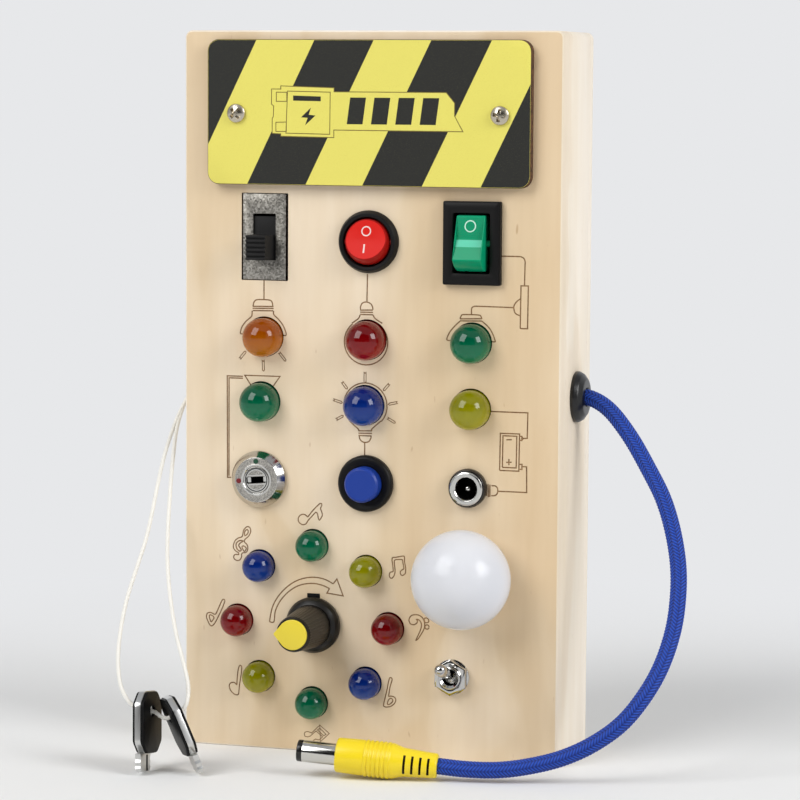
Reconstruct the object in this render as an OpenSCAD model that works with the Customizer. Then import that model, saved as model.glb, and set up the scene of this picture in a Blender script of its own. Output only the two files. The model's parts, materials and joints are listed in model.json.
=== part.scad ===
// Wooden busy board: a shallow plywood box with switches, lamps, a dial, a power lead and a pair of keys.
// Millimetres. Z is up, the face looks along -Y, and the origin is the middle of the underside.

/* [Board] */
// Width of the board
board_w = 100; // [100:1:106]
// Height of the board
board_h = 185; // [185:1:195]
// Depth of the board, face to back
board_d = 30; // [30:1:36]
// Thickness of the front panel
panel_t = 5; // [4.5:0.1:5]
// Thickness of the four walls
wall_t = 4; // [3.6:0.1:4]
// Thickness of the back panel
back_t = 3; // [2.5:0.5:4]
// Radius of the corners, seen from the front
corner_r = 1.8; // [1:0.1:1.8]
// Diameter of the wood screws that hold the back panel
back_screw_d = 1.8; // [1.4:0.1:2]

/* [Cover plate and battery box] */
// Width of the striped cover plate
plate_w = 85.4; // [80:0.2:90]
// Height of the striped cover plate
plate_h = 36.8; // [36:0.2:38]
// Thickness of the cover plate
plate_t = 2.5; // [1.5:0.1:3]
// Middle of the cover plate across the face
plate_x = -0.3; // [-1:0.1:1]
// Gap between the battery box and the top wall
tray_clear = 0.65; // [0.4:0.05:2]
// Gap between an ear of the battery box and a plate screw
ear_clear = 1.2; // [1:0.1:3]
// Height of the plate screws under the middle of the plate
plate_screw_drop = 0.35; // [0:0.05:1]
// Head diameter of the plate screws
plate_head_d = 4.8; // [4:0.2:6]
// Diameter of one round cell
cell_d = 14.2; // [13.8:0.1:14.5]
// Length of one round cell without its nub
cell_len = 49.5; // [48:0.1:49.5]

/* [Slide switch] */
// Middle of the slide switch across the face
slide_x = -28.5; // [-30:0.1:-27]
// Width and height of its steel frame
slide_size = [11.6, 22]; // [10:0.1:22]
// Travel of the slider
slide_travel = 5.1; // [3:0.1:5.4]
// How far the slider knob stands out of the face
slide_knob_out = 6.3; // [3:0.1:8]

/* [Rocker switches] */
// Middle of the round rocker across the face
round_x = -0.35; // [-1:0.05:1]
// Diameter of its bezel
round_bezel_d = 15.9; // [15:0.1:17]
// Middle of the rectangular rocker across the face
square_x = 27.1; // [26:0.1:29]
// Width and height of its bezel
square_bezel = [15, 21]; // [15:0.5:22]
// Rock angle of the round cap on either side of level
round_tilt = 14.5; // [8:0.5:15]
// Rock angle of the rectangular cap on either side of level
square_tilt = 20; // [10:1:20]

/* [Key switch] */
// Middle of the key switch across the face
lock_x = -29.5; // [-31:0.1:-28]
// Diameter of the flange of its ring
lock_flange_d = 14.5; // [13.5:0.1:15]
// Diameter of the turning core
core_d = 6.9; // [6:0.1:7.5]
// How far the ring stands out of the face
lock_out = 3; // [2:0.1:4]

/* [Push button] */
// Middle of the push button across the face
push_x = -0.7; // [-1:0.05:1]
// Diameter of the button cap
push_cap_d = 9; // [8:0.1:9]
// How far the button cap stands out of the face
push_out = 5; // [4:0.1:6]
// Travel of the button
push_travel = 2.5; // [1:0.1:2.6]

/* [Power socket] */
// Middle of the power socket across the face
jack_x = 26.35; // [26:0.05:29]
// Bore of the power socket
jack_bore_d = 5.6; // [5.5:0.1:6]
// Diameter of the pin in the socket
jack_pin_d = 1.9; // [1.6:0.1:2.2]

/* [Rotary switch] */
// Axis of the rotary switch across the face
dial_x = -14.6; // [-16:0.1:-13]
// Diameter of the skirt of the knob
skirt_d = 14.4; // [13:0.1:15]
// Height of the knob over the face
knob_h = 17.5; // [15:0.1:20]
// Radius of the ring of small lamps
ring_r = 20.45; // [20:0.05:21]
// Middle of the ring of small lamps across the face
ring_x = -15; // [-16:0.1:-14]

/* [Toggle switch] */
// Middle of the toggle switch across the face
toggle_x = 22.5; // [21:0.1:24]
// How far it lies under the axis of the dial
toggle_drop = 11.4; // [10:0.1:13]
// Lean of the lever from square to the face, up or down
toggle_lean = 19; // [10:1:20]
// Reach of the lever from its pivot to its tip
lever_len = 12.2; // [9:0.1:14]

/* [Lamps] */
// Diameter of the large lamps
lamp_d = 10; // [9:0.1:10]
// Diameter of the small lamps in the ring
small_lamp_d = 8; // [7:0.1:8]
// Middle of the white globe across the face
globe_x = 27; // [26:0.1:28]
// How far it lies over the axis of the dial
globe_rise = 14.9; // [14:0.1:15.5]
// Diameter of the white globe
globe_d = 25.1; // [24:0.1:26]

/* [Cord and plug] */
// Diameter of the blue cord
cord_d = 4.2; // [3.6:0.1:4.4]
// Height of the cord's grommet in the right wall
grommet_z = 92.8; // [92:0.1:94]
// Length of the plug's moulding
plug_len = 25.4; // [24:0.1:27]
// Length of the plug's barrel
barrel_len = 11.2; // [9:0.1:12]
// Diameter of the plug's barrel
barrel_d = 5.4; // [5:0.1:5.5]

/* [Keys and string] */
// Diameter of the string
string_d = 1.1; // [0.8:0.1:1.2]
// Width of a key's head
key_w = 13; // [12:0.5:13]
// Length of a key from blade tip to head
key_len = 20; // [20:0.1:22]
// Thickness of a key's steel core
key_core_t = 1.5; // [1.5:0.1:2]
// Thickness of each black cover on a key
key_cover_t = 0.7; // [0.6:0.1:1]

/* [Hidden] */
$fn = 48;

face_y = -board_d / 2;
fit = 0.1;                       // radial gap of a part set in a hole of the panel
run = 0.05;                      // radial gap of a part that turns or slides

// Battery box round its two cells, heights measured out of the face
tray_wall = [1.5, 1.1];
tray_floor_t = 1.2;
tray_fit = 0.3;
cell_room = 0.5;
cell_side_gap = 0.45;
nub_len = 1;
nub_r = 2.7;
spring_len = 4.2;
spring_r = [4.2, 2.6];
contact_t = 0.4;
contact_r = [4.5, 5];
ear_t = 1.2;
ear_size = [3, 24];
lug_size = [1, 3, 4];
lug_at = [12, 6];
cell_pitch = cell_d + cell_room;
tray_size = [cell_len + nub_len + spring_len + 2 * (contact_t + tray_wall[0]),
    cell_pitch + cell_d + 2 * (cell_side_gap + tray_wall[1])];
tray_back = -(tray_floor_t + fit + cell_d + cell_room);
cell_axis_h = tray_back + tray_floor_t + fit + cell_d / 2;
cell_end = tray_size[0] / 2 - tray_wall[0] - contact_t;

// Back screws
back_screw_inset = 25;
back_screw_len = 9.2;
back_screw_point = 1.2;
back_head_r = 1.75;
back_head_h = 0.95;

// Rows of the face from the bottom up: the height that each one takes, and the shares of the spare height
// that lie under each row and under the cover plate
rows = [2 * ring_r + small_lamp_d, lock_flange_d, lamp_d, lamp_d, slide_size[1]];
shares = [8.75, 5.4, 7.65, 6.7, 9.7, 2.35];
function total(v, n) = n < 1 ? 0 : v[n - 1] + total(v, n - 1);
plate_at = [plate_x, board_h - wall_t - tray_clear - tray_size[1] / 2];
spare_h = plate_at[1] - plate_h / 2 - total(rows, 5);
function row_z(k) = total(rows, k) + rows[k] / 2 + spare_h * total(shares, k + 1) / total(shares, 6);

slide_at = [slide_x, row_z(4)];
round_at = [round_x, row_z(4) - 0.7];
square_at = [square_x, row_z(4) - 0.5];
lock_at = [lock_x, row_z(1)];
push_at = [push_x, row_z(1) + 0.05];
jack_at = [jack_x, row_z(1)];
dial_at = [dial_x, row_z(0)];
ring_at = [ring_x, row_z(0)];
toggle_at = [toggle_x, row_z(0) - toggle_drop];
globe_at = [globe_x, row_z(0) + globe_rise];

// Plate screws
plate_shank_d = 2.7;
plate_screw_len = 9;
plate_head_h = 1.6;
plate_hole_r = 1.6;
plate_corner_r = 3;
plate_screw_gap = tray_size[0] + 2 * (ear_size[0] + ear_clear) + plate_shank_d;
plate_screws_at = [for (s = [-1, 1]) plate_at + [s * plate_screw_gap / 2, -plate_screw_drop]];

// Slide switch
slide_skin = 0.6;
slide_front = -0.1;
slide_window = [6.1, 11.8];
slide_knob = [5.3, 6.3];
slide_rest = -slide_travel / 2;  // slider's place under the middle of the window
slide_foot = [9.4, 15.6];
slide_floor = -8;
slide_side_t = 0.5;
slide_ear = [6, 2.4, 0.6];
slide_base_t = 2;
rib_pitch = 1.15;
rib_gap = 0.45;

// Rocker switches: the pivot is an axis across the face, cap profiles are measured from it
round_pivot = 0.4;
round_ball_r = 5.9;
round_valley = 2.35;
square_pivot = 0.5;
square_arc_r = 7.12;
square_valley = 3;
square_cap_w = 7.4;
rocker_pin_r = 0.8;
rocker_wall = 1;
round_body_r = 6.8;
round_depth = 13;
round_rim = [7.3, 0.5, 1.9];
square_body = [13, 19.2];
square_depth = 14;
square_rim = [1.6, 0.4];
square_well = [9.6, 15.1, 9.5];
square_slope = 11;

// Key switch, push button and power socket
lock_slot = [5.4, 1.75];
lock_depth = 12;
lock_r = 6;
lock_flange_t = 0.4;
lock_base_r = 6.6;
lock_base_h = 6;
lock_slot_tilt = -3;
push_depth = 12;
push_shoulder = -4;
push_r = 6;
push_base_h = 5;
push_flange = [7.25, 1.2, 2.1];
push_disc = [5.2, 1.5];
push_stem_r = 1.5;
spring_wire = 0.4;
jack_front = 2;
jack_depth = 14;
jack_r = 4;
jack_floor_t = 1.5;
jack_flange = [4.95, 1.2, 4.6];

// Nuts, each by its width across the flats and its height
large_nut = [14.5, 2.5];
jack_nut = [11, 2];
dial_nut = [8.4, 1.8];
toggle_nut_size = [8, 1.9];
washer = [4.5, 0.4];

// Rotary switch and knob
shaft_r = 2.45;
dial_bush_r = 3.5;
dial_body_r = 9.6;
dial_body_h = 10;
dial_tab = [3.2, 1.5];
dial_tab_at = [-0.2, 7.15];
shaft_disc = [6, 3];
shaft_out = 12;
knob_gap = 0.4;
knob_top_r = 4.5;
knob_body_r = 5.55;
pointer_t = 0.6;
pointer_r = 3.85;
pointer_reach = 5.1;

// Toggle switch
toggle_front = 3;
toggle_bush_r = 2.95;
toggle_box = [8, 13, 9];
toggle_well = [4, 8.5];
toggle_pivot = 0.5;
ball_r = 1.9;
lever_r = 1.5;
neck_r = 0.85;
tail_r = 0.45;

// Lamps
led_flange_t = 1;
led_lip = 0.5;
lamp_tip = 7;
small_tip = 5.8;
globe_centre = 8.5;
globe_neck_r = 9.5;
globe_wall = 1.2;
globe_board = [11.5, 1.6];
globe_chip = [2.5, 3.5];
lamp_orange = [[-28.4, row_z(3)]];
lamp_red = [[-0.7, row_z(3)]];
lamp_green = [[27, row_z(3)], [-29.2, row_z(2)]];
lamp_blue = [[-1.2, row_z(2)]];
lamp_yellow = [[26.9, row_z(2)]];
lamps = concat(lamp_orange, lamp_red, lamp_green, lamp_blue, lamp_yellow);
function ring_place(step) = ring_at + ring_r * [sin(45 * step), cos(45 * step)];
ring_green = [for (k = [0, 4]) ring_place(k)];
ring_yellow = [for (k = [1, 5]) ring_place(k)];
ring_red = [for (k = [2, 6]) ring_place(k)];
ring_blue = [for (k = [3, 7]) ring_place(k)];
small_lamps = concat(ring_green, ring_yellow, ring_red, ring_blue);

// Cord: from the stop inside the right wall, out of the grommet and down to the plug on the floor
grommet_y = 1;
grommet_bore_r = 4.4;
grommet_lip = [5.4, 1.2];
grommet_flange = [6.5, 0.8, 3];
cord_stop_size = [3.8, 3];
cord_stop_x = board_w / 2 - wall_t - grommet_lip[1] - 0.2;
cord_route = [
    [cord_stop_x, grommet_y, grommet_z], [50, grommet_y, grommet_z],
    [54.1, grommet_y, grommet_z - 0.3], [59.2, 0.2, 89.6],
    [64.9, -1.7, 83.4], [70.2, -4, 75.8], [74.9, -7, 68.5],
    [78.2, -10, 60.5], [80.3, -13.2, 52.2], [81, -16.8, 44.3], [80.5, -20, 36.9], [78.6, -24, 29.1],
    [75.2, -27.3, 22.1], [70.3, -29.8, 15.6], [63.6, -31.6, 10.4], [56, -33, 6.6], [47.8, -34.6, 4.3],
    [40.5, -36.5, 3.3], [33, -37.9, 3.26], [26, -39, 3.8]
];
plug_tail = cord_route[len(cord_route) - 1];
plug_turn = 189;
plug_rise = 4.4;

// String: one loop from the left wall through both key heads and back
string_z = 92.7;
string_in_x = wall_t + 1 - board_w / 2;
string_route = [
    [string_in_x, 0.4, string_z], [-50, 0.4, string_z], [-52.3, -1.8, 91.8],
    [-53.8, -5.5, 88.5], [-55.3, -9, 83],
    [-56.7, -12.5, 75.5], [-57.3, -16, 68], [-57.6, -19.5, 60.5], [-58.1, -23, 53.5], [-59.1, -27, 46.5],
    [-59.8, -31.5, 39.5], [-59.7, -36, 32], [-58.5, -40.5, 25.5], [-55.9, -45.2, 20.2], [-52.6, -48.5, 17.1],
    [-49.4, -49.9, 15.6], [-46.7, -50.1, 15.2], [-44.6, -50.2, 14.9], [-42.7, -50.9, 14],
    [-41, -50.9, 13.7], [-39.6, -49.8, 14.4], [-38.1, -48.7, 15.2], [-37.3, -46.8, 17.4],
    [-38.2, -43.8, 21.2], [-41, -40, 26.2], [-44.2, -36, 31.3],
    [-46.9, -32.3, 37], [-49.3, -28.6, 43.5], [-51.3, -24.6, 50.5], [-52.7, -20.5, 58], [-53.7, -16.5, 66],
    [-54.4, -12.8, 74], [-54.6, -9, 82.5], [-53.6, -4.5, 89.5], [-52, -0.3, 92], [-50, 1.6, string_z],
    [string_in_x, 1.6, string_z]
];
string_hole_r = 1.5;
knot_r = 1.9;

// Keys: place of each blade tip, turn about Z, tilt sideways and lean back
key_a = [[-45.9, -52.2, 0.25], 0, -3, 8];
key_b = [[-33.9, -48.4, 0.5], 35, -21.5, 8];
key_head_from = 4.3;
key_chamfer = 3;
key_blade_w = 6.7;
key_blade_off = -2.9;
key_hole_r = 1.5;
key_hole_drop = 5;

// Tags and wires behind the switches
tag_len = 5;
short_tag = 3.6;
pin_len = [3, 3.4, 3.5, 5];
wire_r = 0.55;
wire_gap = 0.3;
black_layer = back_t + 2 - board_d;
red_layer = black_layer + 2.4;

// ---------- frames and shared shapes ----------

// Stand on the face: X right, Y up, Z out of the board
module on_face(at, h = 0)
    translate([at[0], face_y, at[1]]) rotate([90, 0, 0]) translate([0, 0, h]) children();

// Stand on the back: Z out of the board
module on_back(at, h = 0)
    translate([at[0], board_d / 2, at[1]]) rotate([-90, 0, 0]) translate([0, 0, h]) children();

// Stand on the right wall: Z out of the board
module on_right(y, z, h = 0)
    translate([board_w / 2, y, z]) rotate([0, 90, 0]) translate([0, 0, h]) children();

module rounded_rect(size, r) {
    square([size[0] - 2 * r, size[1]], center = true);
    square([size[0], size[1] - 2 * r], center = true);
    for (sx = [-1, 1], sy = [-1, 1])
        translate([sx * (size[0] / 2 - r), sy * (size[1] / 2 - r)]) circle(r);
}

// Slice of the board's outline between two depths behind the face
module board_slice(from, to)
    on_face([0, board_h / 2], -to) linear_extrude(to - from) rounded_rect([board_w, board_h], corner_r);

module block(size, at = [0, 0, 0]) translate(at) cube(size, center = true);

// Round hole through the front panel
module panel_hole(at, r) on_face(at, -panel_t - 1) cylinder(r = r, h = panel_t + 2);

// Straight ring between two heights
module ring(outer, inner, from, to)
    translate([0, 0, from]) difference() {
        cylinder(r = outer, h = to - from);
        translate([0, 0, -1]) cylinder(r = inner, h = to - from + 2);
    }

// Hexagon nut by its width across the flats
module hex_nut(flats, bore, from, to)
    translate([0, 0, from]) difference() {
        rotate([0, 0, 30]) cylinder(r = flats / 2 / cos(30), h = to - from, $fn = 6);
        translate([0, 0, -1]) cylinder(r = bore, h = to - from + 2);
    }

// Cross recess of a screw head
module cross_slot(reach, depth) for (a = [0, 90]) rotate([0, 0, a]) block([reach, 0.8, 2 * depth]);

function unit(v) = v / norm(v);
function heading(p, i) = unit(p[min(i + 1, len(p) - 1)] - p[max(i - 1, 0)]);
function flat_to(n, t) = unit(n - (n * t) * t);
function sides_of(p, i, n) = i == len(p) ? [] :
    let (m = flat_to(n, heading(p, i))) concat([m], sides_of(p, i + 1, m));

// Tube swept along a list of points
module tube(p, r, sides) {
    start = abs(heading(p, 0)[2]) > 0.9 ? [1, 0, 0] : [0, 0, 1];
    n = sides_of(p, 0, start);
    last = len(p) - 1;
    rings = [for (i = [0:last], k = [0:sides - 1])
        p[i] + r * (cos(360 * k / sides) * n[i] + sin(360 * k / sides) * cross(heading(p, i), n[i]))];
    walls = [for (i = [0:last - 1], k = [0:sides - 1])
        let (a = i * sides + k, b = i * sides + (k + 1) % sides) [a, a + sides, b + sides, b]];
    first_cap = [for (k = [0:sides - 1]) k];
    last_cap = [for (k = [sides - 1:-1:0]) last * sides + k];
    polyhedron(rings, concat([first_cap], walls, [last_cap]));
}

// Coil along Z from 0 to its length
module coil(r_from, r_to, length, turns, wire_r)
    tube([for (k = [0:turns * 14]) let (u = k / (turns * 14), r = r_from + (r_to - r_from) * u)
        [r * cos(360 * turns * u), r * sin(360 * turns * u), wire_r + (length - 2 * wire_r) * u]], wire_r, 6);

// ---------- plywood box ----------

module front_panel() color("burlywood") difference() {
    board_slice(0, panel_t);
    on_face(plate_at, -panel_t / 2)
        block([tray_size[0] + 2 * tray_fit, tray_size[1] + 2 * tray_fit, panel_t + 2]);
    for (p = plate_screws_at) panel_hole(p, plate_shank_d / 2 + run);
    on_face(slide_at, -panel_t / 2)
        block([slide_size[0] + 1, slide_size[1] + 0.35, panel_t + 2], [0.2, 0, 0]);
    panel_hole(round_at, round_body_r + fit);
    on_face(square_at, -panel_t / 2)
        block([square_body[0] + 2 * fit, square_body[1] + 2 * fit, panel_t + 2]);
    panel_hole(lock_at, lock_r + fit);
    panel_hole(push_at, push_r + fit);
    panel_hole(jack_at, jack_r + fit);
    panel_hole(dial_at, dial_bush_r + fit);
    on_face(dial_at + dial_tab_at, -panel_t / 2) block([dial_tab[0] + 0.3, dial_tab[1] + 0.3, panel_t + 2]);
    panel_hole(toggle_at, toggle_bush_r + fit);
    panel_hole(globe_at, globe_neck_r + fit);
    for (p = lamps) panel_hole(p, lamp_d / 2 + fit);
    for (p = small_lamps) panel_hole(p, small_lamp_d / 2 + fit);
}

back_screws_at = [
    for (sx = [-1, 1], z = [back_screw_inset, board_h - back_screw_inset]) [sx * (board_w - wall_t) / 2, z],
    for (z = [wall_t / 2, board_h - wall_t / 2]) [0, z]
];

module back_screw_holes(r) for (p = back_screws_at)
    on_back(p, -back_screw_len - 0.8) cylinder(r = r, h = back_screw_len + 3);

// Walls between the panels, cut out of the board's outline
module walls() difference() {
    board_slice(panel_t, board_d - back_t);
    back_screw_holes(back_screw_d / 2 + run);
}

module side_wall(s) intersection() {
    walls();
    block([wall_t, board_d, board_h], [s * (board_w - wall_t) / 2, 0, board_h / 2]);
}

module end_wall(z) intersection() {
    walls();
    block([board_w - 2 * wall_t, board_d, wall_t], [0, 0, z]);
}

module frame_left() color("wheat") difference() {
    side_wall(-1);
    translate([-board_w / 2, grommet_y, string_z]) rotate([0, 90, 0])
        cylinder(r = string_hole_r, h = 4 * wall_t, center = true);
}

module frame_right() color("wheat") difference() {
    side_wall(1);
    on_right(grommet_y, grommet_z, -2 * wall_t) cylinder(r = grommet_bore_r + fit, h = 3 * wall_t);
}

module frame_top() color("wheat") end_wall(board_h - wall_t / 2);
module frame_bottom() color("wheat") end_wall(wall_t / 2);

module back_panel() color("burlywood") difference() {
    board_slice(board_d - back_t, board_d);
    back_screw_holes(back_screw_d / 2 + run);
    for (p = back_screws_at) on_back(p, -1)
        cylinder(r1 = back_screw_d / 2 + run, r2 = back_head_r + fit, h = 1.001);
}

module back_screws() color("silver") for (p = back_screws_at) on_back(p) difference() {
    union() {
        translate([0, 0, -1]) cylinder(r1 = back_screw_d / 2, r2 = back_head_r, h = back_head_h);
        translate([0, 0, back_screw_point - back_screw_len])
            cylinder(r = back_screw_d / 2, h = back_screw_len - back_screw_point - 1);
        translate([0, 0, -back_screw_len]) cylinder(r1 = 0.2, r2 = back_screw_d / 2, h = back_screw_point);
    }
    translate([0, 0, -0.05]) cross_slot(2, 0.5);
}

// ---------- cover plate and battery box ----------

module warning_plate() color("gold") on_face(plate_at) difference() {
    linear_extrude(plate_t) rounded_rect([plate_w, plate_h], plate_corner_r);
    for (s = [-1, 1]) translate([s * plate_screw_gap / 2, -plate_screw_drop, -1])
        cylinder(r = plate_hole_r, h = plate_t + 2);
}

module plate_screws() color("lightgray") for (p = plate_screws_at) on_face(p) difference() {
    union() {
        translate([0, 0, -plate_screw_len]) cylinder(d = plate_shank_d, h = plate_screw_len + plate_t);
        intersection() {
            translate([0, 0, plate_t]) cylinder(d = plate_head_d, h = 2);
            translate([0, 0, plate_t + plate_head_h - 3]) sphere(3);
        }
    }
    translate([0, 0, plate_t + plate_head_h]) cross_slot(2.6, 0.8);
}

module battery_holder() color("#2b2b2b") on_face(plate_at) {
    difference() {
        translate([0, 0, tray_back]) linear_extrude(-tray_back - tray_fit) square(tray_size, center = true);
        translate([0, 0, tray_back + tray_floor_t])
            linear_extrude(20) square(tray_size - 2 * tray_wall, center = true);
    }
    for (s = [-1, 1]) translate([s * (tray_size[0] + ear_size[0]) / 2, 0, -panel_t - ear_t])
        linear_extrude(ear_t) square(ear_size, center = true);
}

// Run of the two cells: the upper one points right, the lower one left
module per_cell() for (s = [-1, 1])
    translate([0, s * cell_pitch / 2, cell_axis_h]) rotate([0, s * 90, 0]) children();

module battery_cells() color("dimgray") on_face(plate_at) per_cell() {
    translate([0, 0, cell_end - nub_len - cell_len]) cylinder(d = cell_d, h = cell_len);
    translate([0, 0, cell_end - nub_len]) cylinder(r = nub_r, h = nub_len);
}

module battery_contacts() color("silver") on_face(plate_at) {
    per_cell() {
        translate([0, 0, cell_end]) cylinder(r = contact_r[0], h = contact_t);
        translate([0, 0, -cell_end - contact_t]) cylinder(r = contact_r[1], h = contact_t);
        translate([0, 0, -cell_end]) coil(spring_r[0], spring_r[1], spring_len, 3, contact_t);
    }
    for (s = [-1, 1]) block(lug_size, [s * lug_at[0], lug_at[1], tray_back - lug_size[2] / 2]);
}

// ---------- slide switch ----------

module slide_switch_frame() color("gray") on_face(slide_at) {
    skin_back = slide_front - slide_skin;
    ear_back = -panel_t - slide_ear[2];
    difference() {
        block([slide_size[0], slide_size[1], slide_skin], [0, 0, slide_front - slide_skin / 2]);
        block([slide_window[0], slide_window[1], 4]);
    }
    for (s = [-1, 1]) {
        translate([s * (slide_size[0] - slide_side_t) / 2, 0, (skin_back + slide_floor) / 2])
            block([slide_side_t, slide_size[1] - 2, skin_back - slide_floor]);
        translate([0, s * (slide_size[1] - slide_side_t) / 2, (skin_back + ear_back) / 2])
            block([slide_ear[0], slide_side_t, skin_back - ear_back]);
        translate([0, s * (slide_size[1] / 2 - slide_side_t), ear_back])
            linear_extrude(slide_ear[2]) translate([0, s * (slide_ear[1] + slide_side_t) / 2])
            square([slide_ear[0], slide_ear[1] + slide_side_t], center = true);
    }
}

module slide_switch_base() color("saddlebrown") on_face(slide_at)
    block([slide_size[0], slide_size[1] - 1, slide_base_t], [0, 0, slide_floor - slide_base_t / 2]);

module slide_switch_slider() color("#1c1c1e") on_face(slide_at + [-0.2, slide_rest]) {
    foot_top = slide_front - slide_skin - run;
    block([slide_foot[0], slide_foot[1], foot_top - slide_floor - run],
        [0, 0, (foot_top + slide_floor + run) / 2]);
    difference() {
        translate([0, 0, foot_top - 0.2])
            linear_extrude(slide_knob_out - foot_top + 0.2) square(slide_knob, center = true);
        for (k = [-2:2]) block([slide_knob[0] + 1, rib_gap, 1], [0, k * rib_pitch, slide_knob_out]);
    }
}

// ---------- rocker switches ----------

// Two pins and the hollow of a rocker's body share the pivot axis
module across(r, half) rotate([0, 90, 0]) cylinder(r = r, h = 2 * half, center = true);

module round_rocker_body() color("#1d1d1f") on_face(round_at) difference() {
    union() {
        rotate_extrude() polygon([[0, 0], [round_bezel_d / 2, 0], [round_bezel_d / 2, round_rim[1]],
            [round_rim[0], round_rim[2]], [0, round_rim[2]]]);
        translate([0, 0, -round_depth]) cylinder(r = round_body_r, h = round_depth);
    }
    translate([0, 0, -9]) cylinder(r = round_ball_r + 0.25, h = 12);
    translate([0, 0, round_pivot]) across(rocker_pin_r + run, round_ball_r + 0.8);
}

module round_rocker_cap() color("#e02818") on_face(round_at, round_pivot) rotate([-round_tilt, 0, 0]) {
    intersection() {
        sphere(round_ball_r);
        rotate([90, 0, 90]) linear_extrude(20, center = true)
            polygon([[-8, -3.6], [8, -3.6], [8, round_valley + 0.7], [0, round_valley],
                [-8, round_valley + 0.7]]);
    }
    for (s = [-1, 1]) translate([s * (round_ball_r + 0.1), 0, 0])
        rotate([0, 90, 0]) cylinder(r = rocker_pin_r, h = 1.2, center = true);
}

module square_rocker_body() color("#1d1d1f") on_face(square_at) difference() {
    union() {
        linear_extrude(square_rim[0]) square(square_bezel, center = true);
        translate([0, 0, square_rim[0]])
            linear_extrude(square_rim[1]) square(square_bezel - 2 * square_rim[1] * [1, 1], center = true);
        translate([0, 0, -square_depth]) linear_extrude(square_depth) square(square_body, center = true);
    }
    translate([0, 0, -square_well[2]])
        linear_extrude(square_well[2] + 2.5) square([square_well[0], square_well[1]], center = true);
    translate([0, 0, square_pivot]) across(rocker_pin_r + run, square_body[0] / 2 - 0.3);
}

module square_rocker_cap() color("#14a878") on_face(square_at, square_pivot) rotate([-square_tilt, 0, 0]) {
    edge = square_valley + 8 * tan(square_slope);
    intersection() {
        across(square_arc_r, square_cap_w / 2);
        rotate([90, 0, 90]) linear_extrude(20, center = true)
            polygon([[-8, -4.2], [8, -4.2], [8, edge], [0, square_valley], [-8, edge]]);
    }
    across(rocker_pin_r, square_body[0] / 2 - 0.5);
}

// ---------- key switch ----------

module key_switch_body() color("silver") on_face(lock_at) difference() {
    union() {
        rotate_extrude() polygon([[0, 0], [lock_flange_d / 2, 0], [lock_flange_d / 2, lock_flange_t],
            [5.9, lock_out - 0.1], [5.75, lock_out], [0, lock_out]]);
        translate([0, 0, -lock_depth]) cylinder(r = lock_r, h = lock_depth);
    }
    translate([0, 0, -lock_depth - 1]) cylinder(r = core_d / 2 + run, h = lock_depth + lock_out + 2);
}

module key_switch_core() color("gray") on_face(lock_at) difference() {
    translate([0, 0, -lock_depth]) cylinder(d = core_d, h = lock_depth + lock_out - 0.1);
    rotate([0, 0, lock_slot_tilt]) block([lock_slot[0], lock_slot[1], 12], [0, 0, lock_out]);
}

module key_switch_base() color("#222222") on_face(lock_at, -lock_depth - lock_base_h)
    cylinder(r = lock_base_r, h = lock_base_h);

// ---------- push button ----------

module push_button_body() color("#1d1d1f") on_face(push_at) difference() {
    union() {
        rotate_extrude() polygon([[0, 0], [push_flange[0], 0], [push_flange[0], push_flange[1]],
            [6.7, push_flange[2]], [5.4, 1.7], [0, 1.7]]);
        translate([0, 0, -push_depth - push_base_h]) cylinder(r = push_r, h = push_depth + push_base_h);
    }
    translate([0, 0, push_shoulder - 1]) cylinder(r = push_cap_d / 2 + run, h = 12);
    translate([0, 0, -push_depth]) cylinder(r = push_disc[0] + 0.2, h = push_depth + push_shoulder);
    translate([0, 0, -push_depth - push_travel - 1.7]) cylinder(r = push_stem_r + run, h = push_travel + 4);
}

module push_button_cap() color("#2a3f8f") on_face(push_at) {
    rotate_extrude() polygon([[0, push_shoulder - 1], [push_cap_d / 2, push_shoulder - 1],
        [push_cap_d / 2, push_out - 0.8], [push_cap_d / 2 - 0.8, push_out], [0, push_out]]);
    translate([0, 0, push_shoulder - push_disc[1]]) cylinder(r = push_disc[0], h = push_disc[1]);
    translate([0, 0, -push_depth - 1.2]) cylinder(r = push_stem_r, h = push_depth + push_shoulder);
}

module push_button_spring() color("silver") on_face(push_at, -push_depth)
    coil(3.2, 3.2, push_depth + push_shoulder - push_disc[1], 5, spring_wire / 2);

// ---------- power socket ----------

module dc_jack_body() color("#1d1d1f") on_face(jack_at) difference() {
    union() {
        rotate_extrude() polygon([[0, 0], [jack_flange[0], 0], [jack_flange[0], jack_flange[1]],
            [jack_flange[2], jack_front], [0, jack_front]]);
        translate([0, 0, -jack_depth]) cylinder(r = jack_r, h = jack_depth);
    }
    translate([0, 0, jack_floor_t - jack_depth]) cylinder(d = jack_bore_d, h = jack_depth + 4);
}

module dc_jack_ring() color("silver") on_face(jack_at) rotate_extrude()
    polygon([[jack_bore_d / 2, jack_front], [4.3, jack_front], [4.3, jack_front + 0.3],
        [3.9, jack_front + 0.6], [jack_bore_d / 2 + 0.3, jack_front + 0.6],
        [jack_bore_d / 2, jack_front + 0.3]]);

// ---------- rotary switch and knob ----------

module rotary_switch_body() color("#222222") on_face(dial_at) {
    difference() {
        union() {
            translate([0, 0, -panel_t - dial_body_h]) cylinder(r = dial_body_r, h = dial_body_h);
            translate([0, 0, -panel_t - 1]) cylinder(r = dial_bush_r, h = panel_t + 3.6);
        }
        translate([0, 0, -panel_t - 2]) cylinder(r = shaft_r + run, h = 20);
        translate([0, 0, -panel_t - 8]) cylinder(r = shaft_disc[0] + 0.1, h = 6.5);
    }
    translate([0, 0, -panel_t / 2]) block([dial_tab[0], dial_tab[1], panel_t], dial_tab_at);
}

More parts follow.
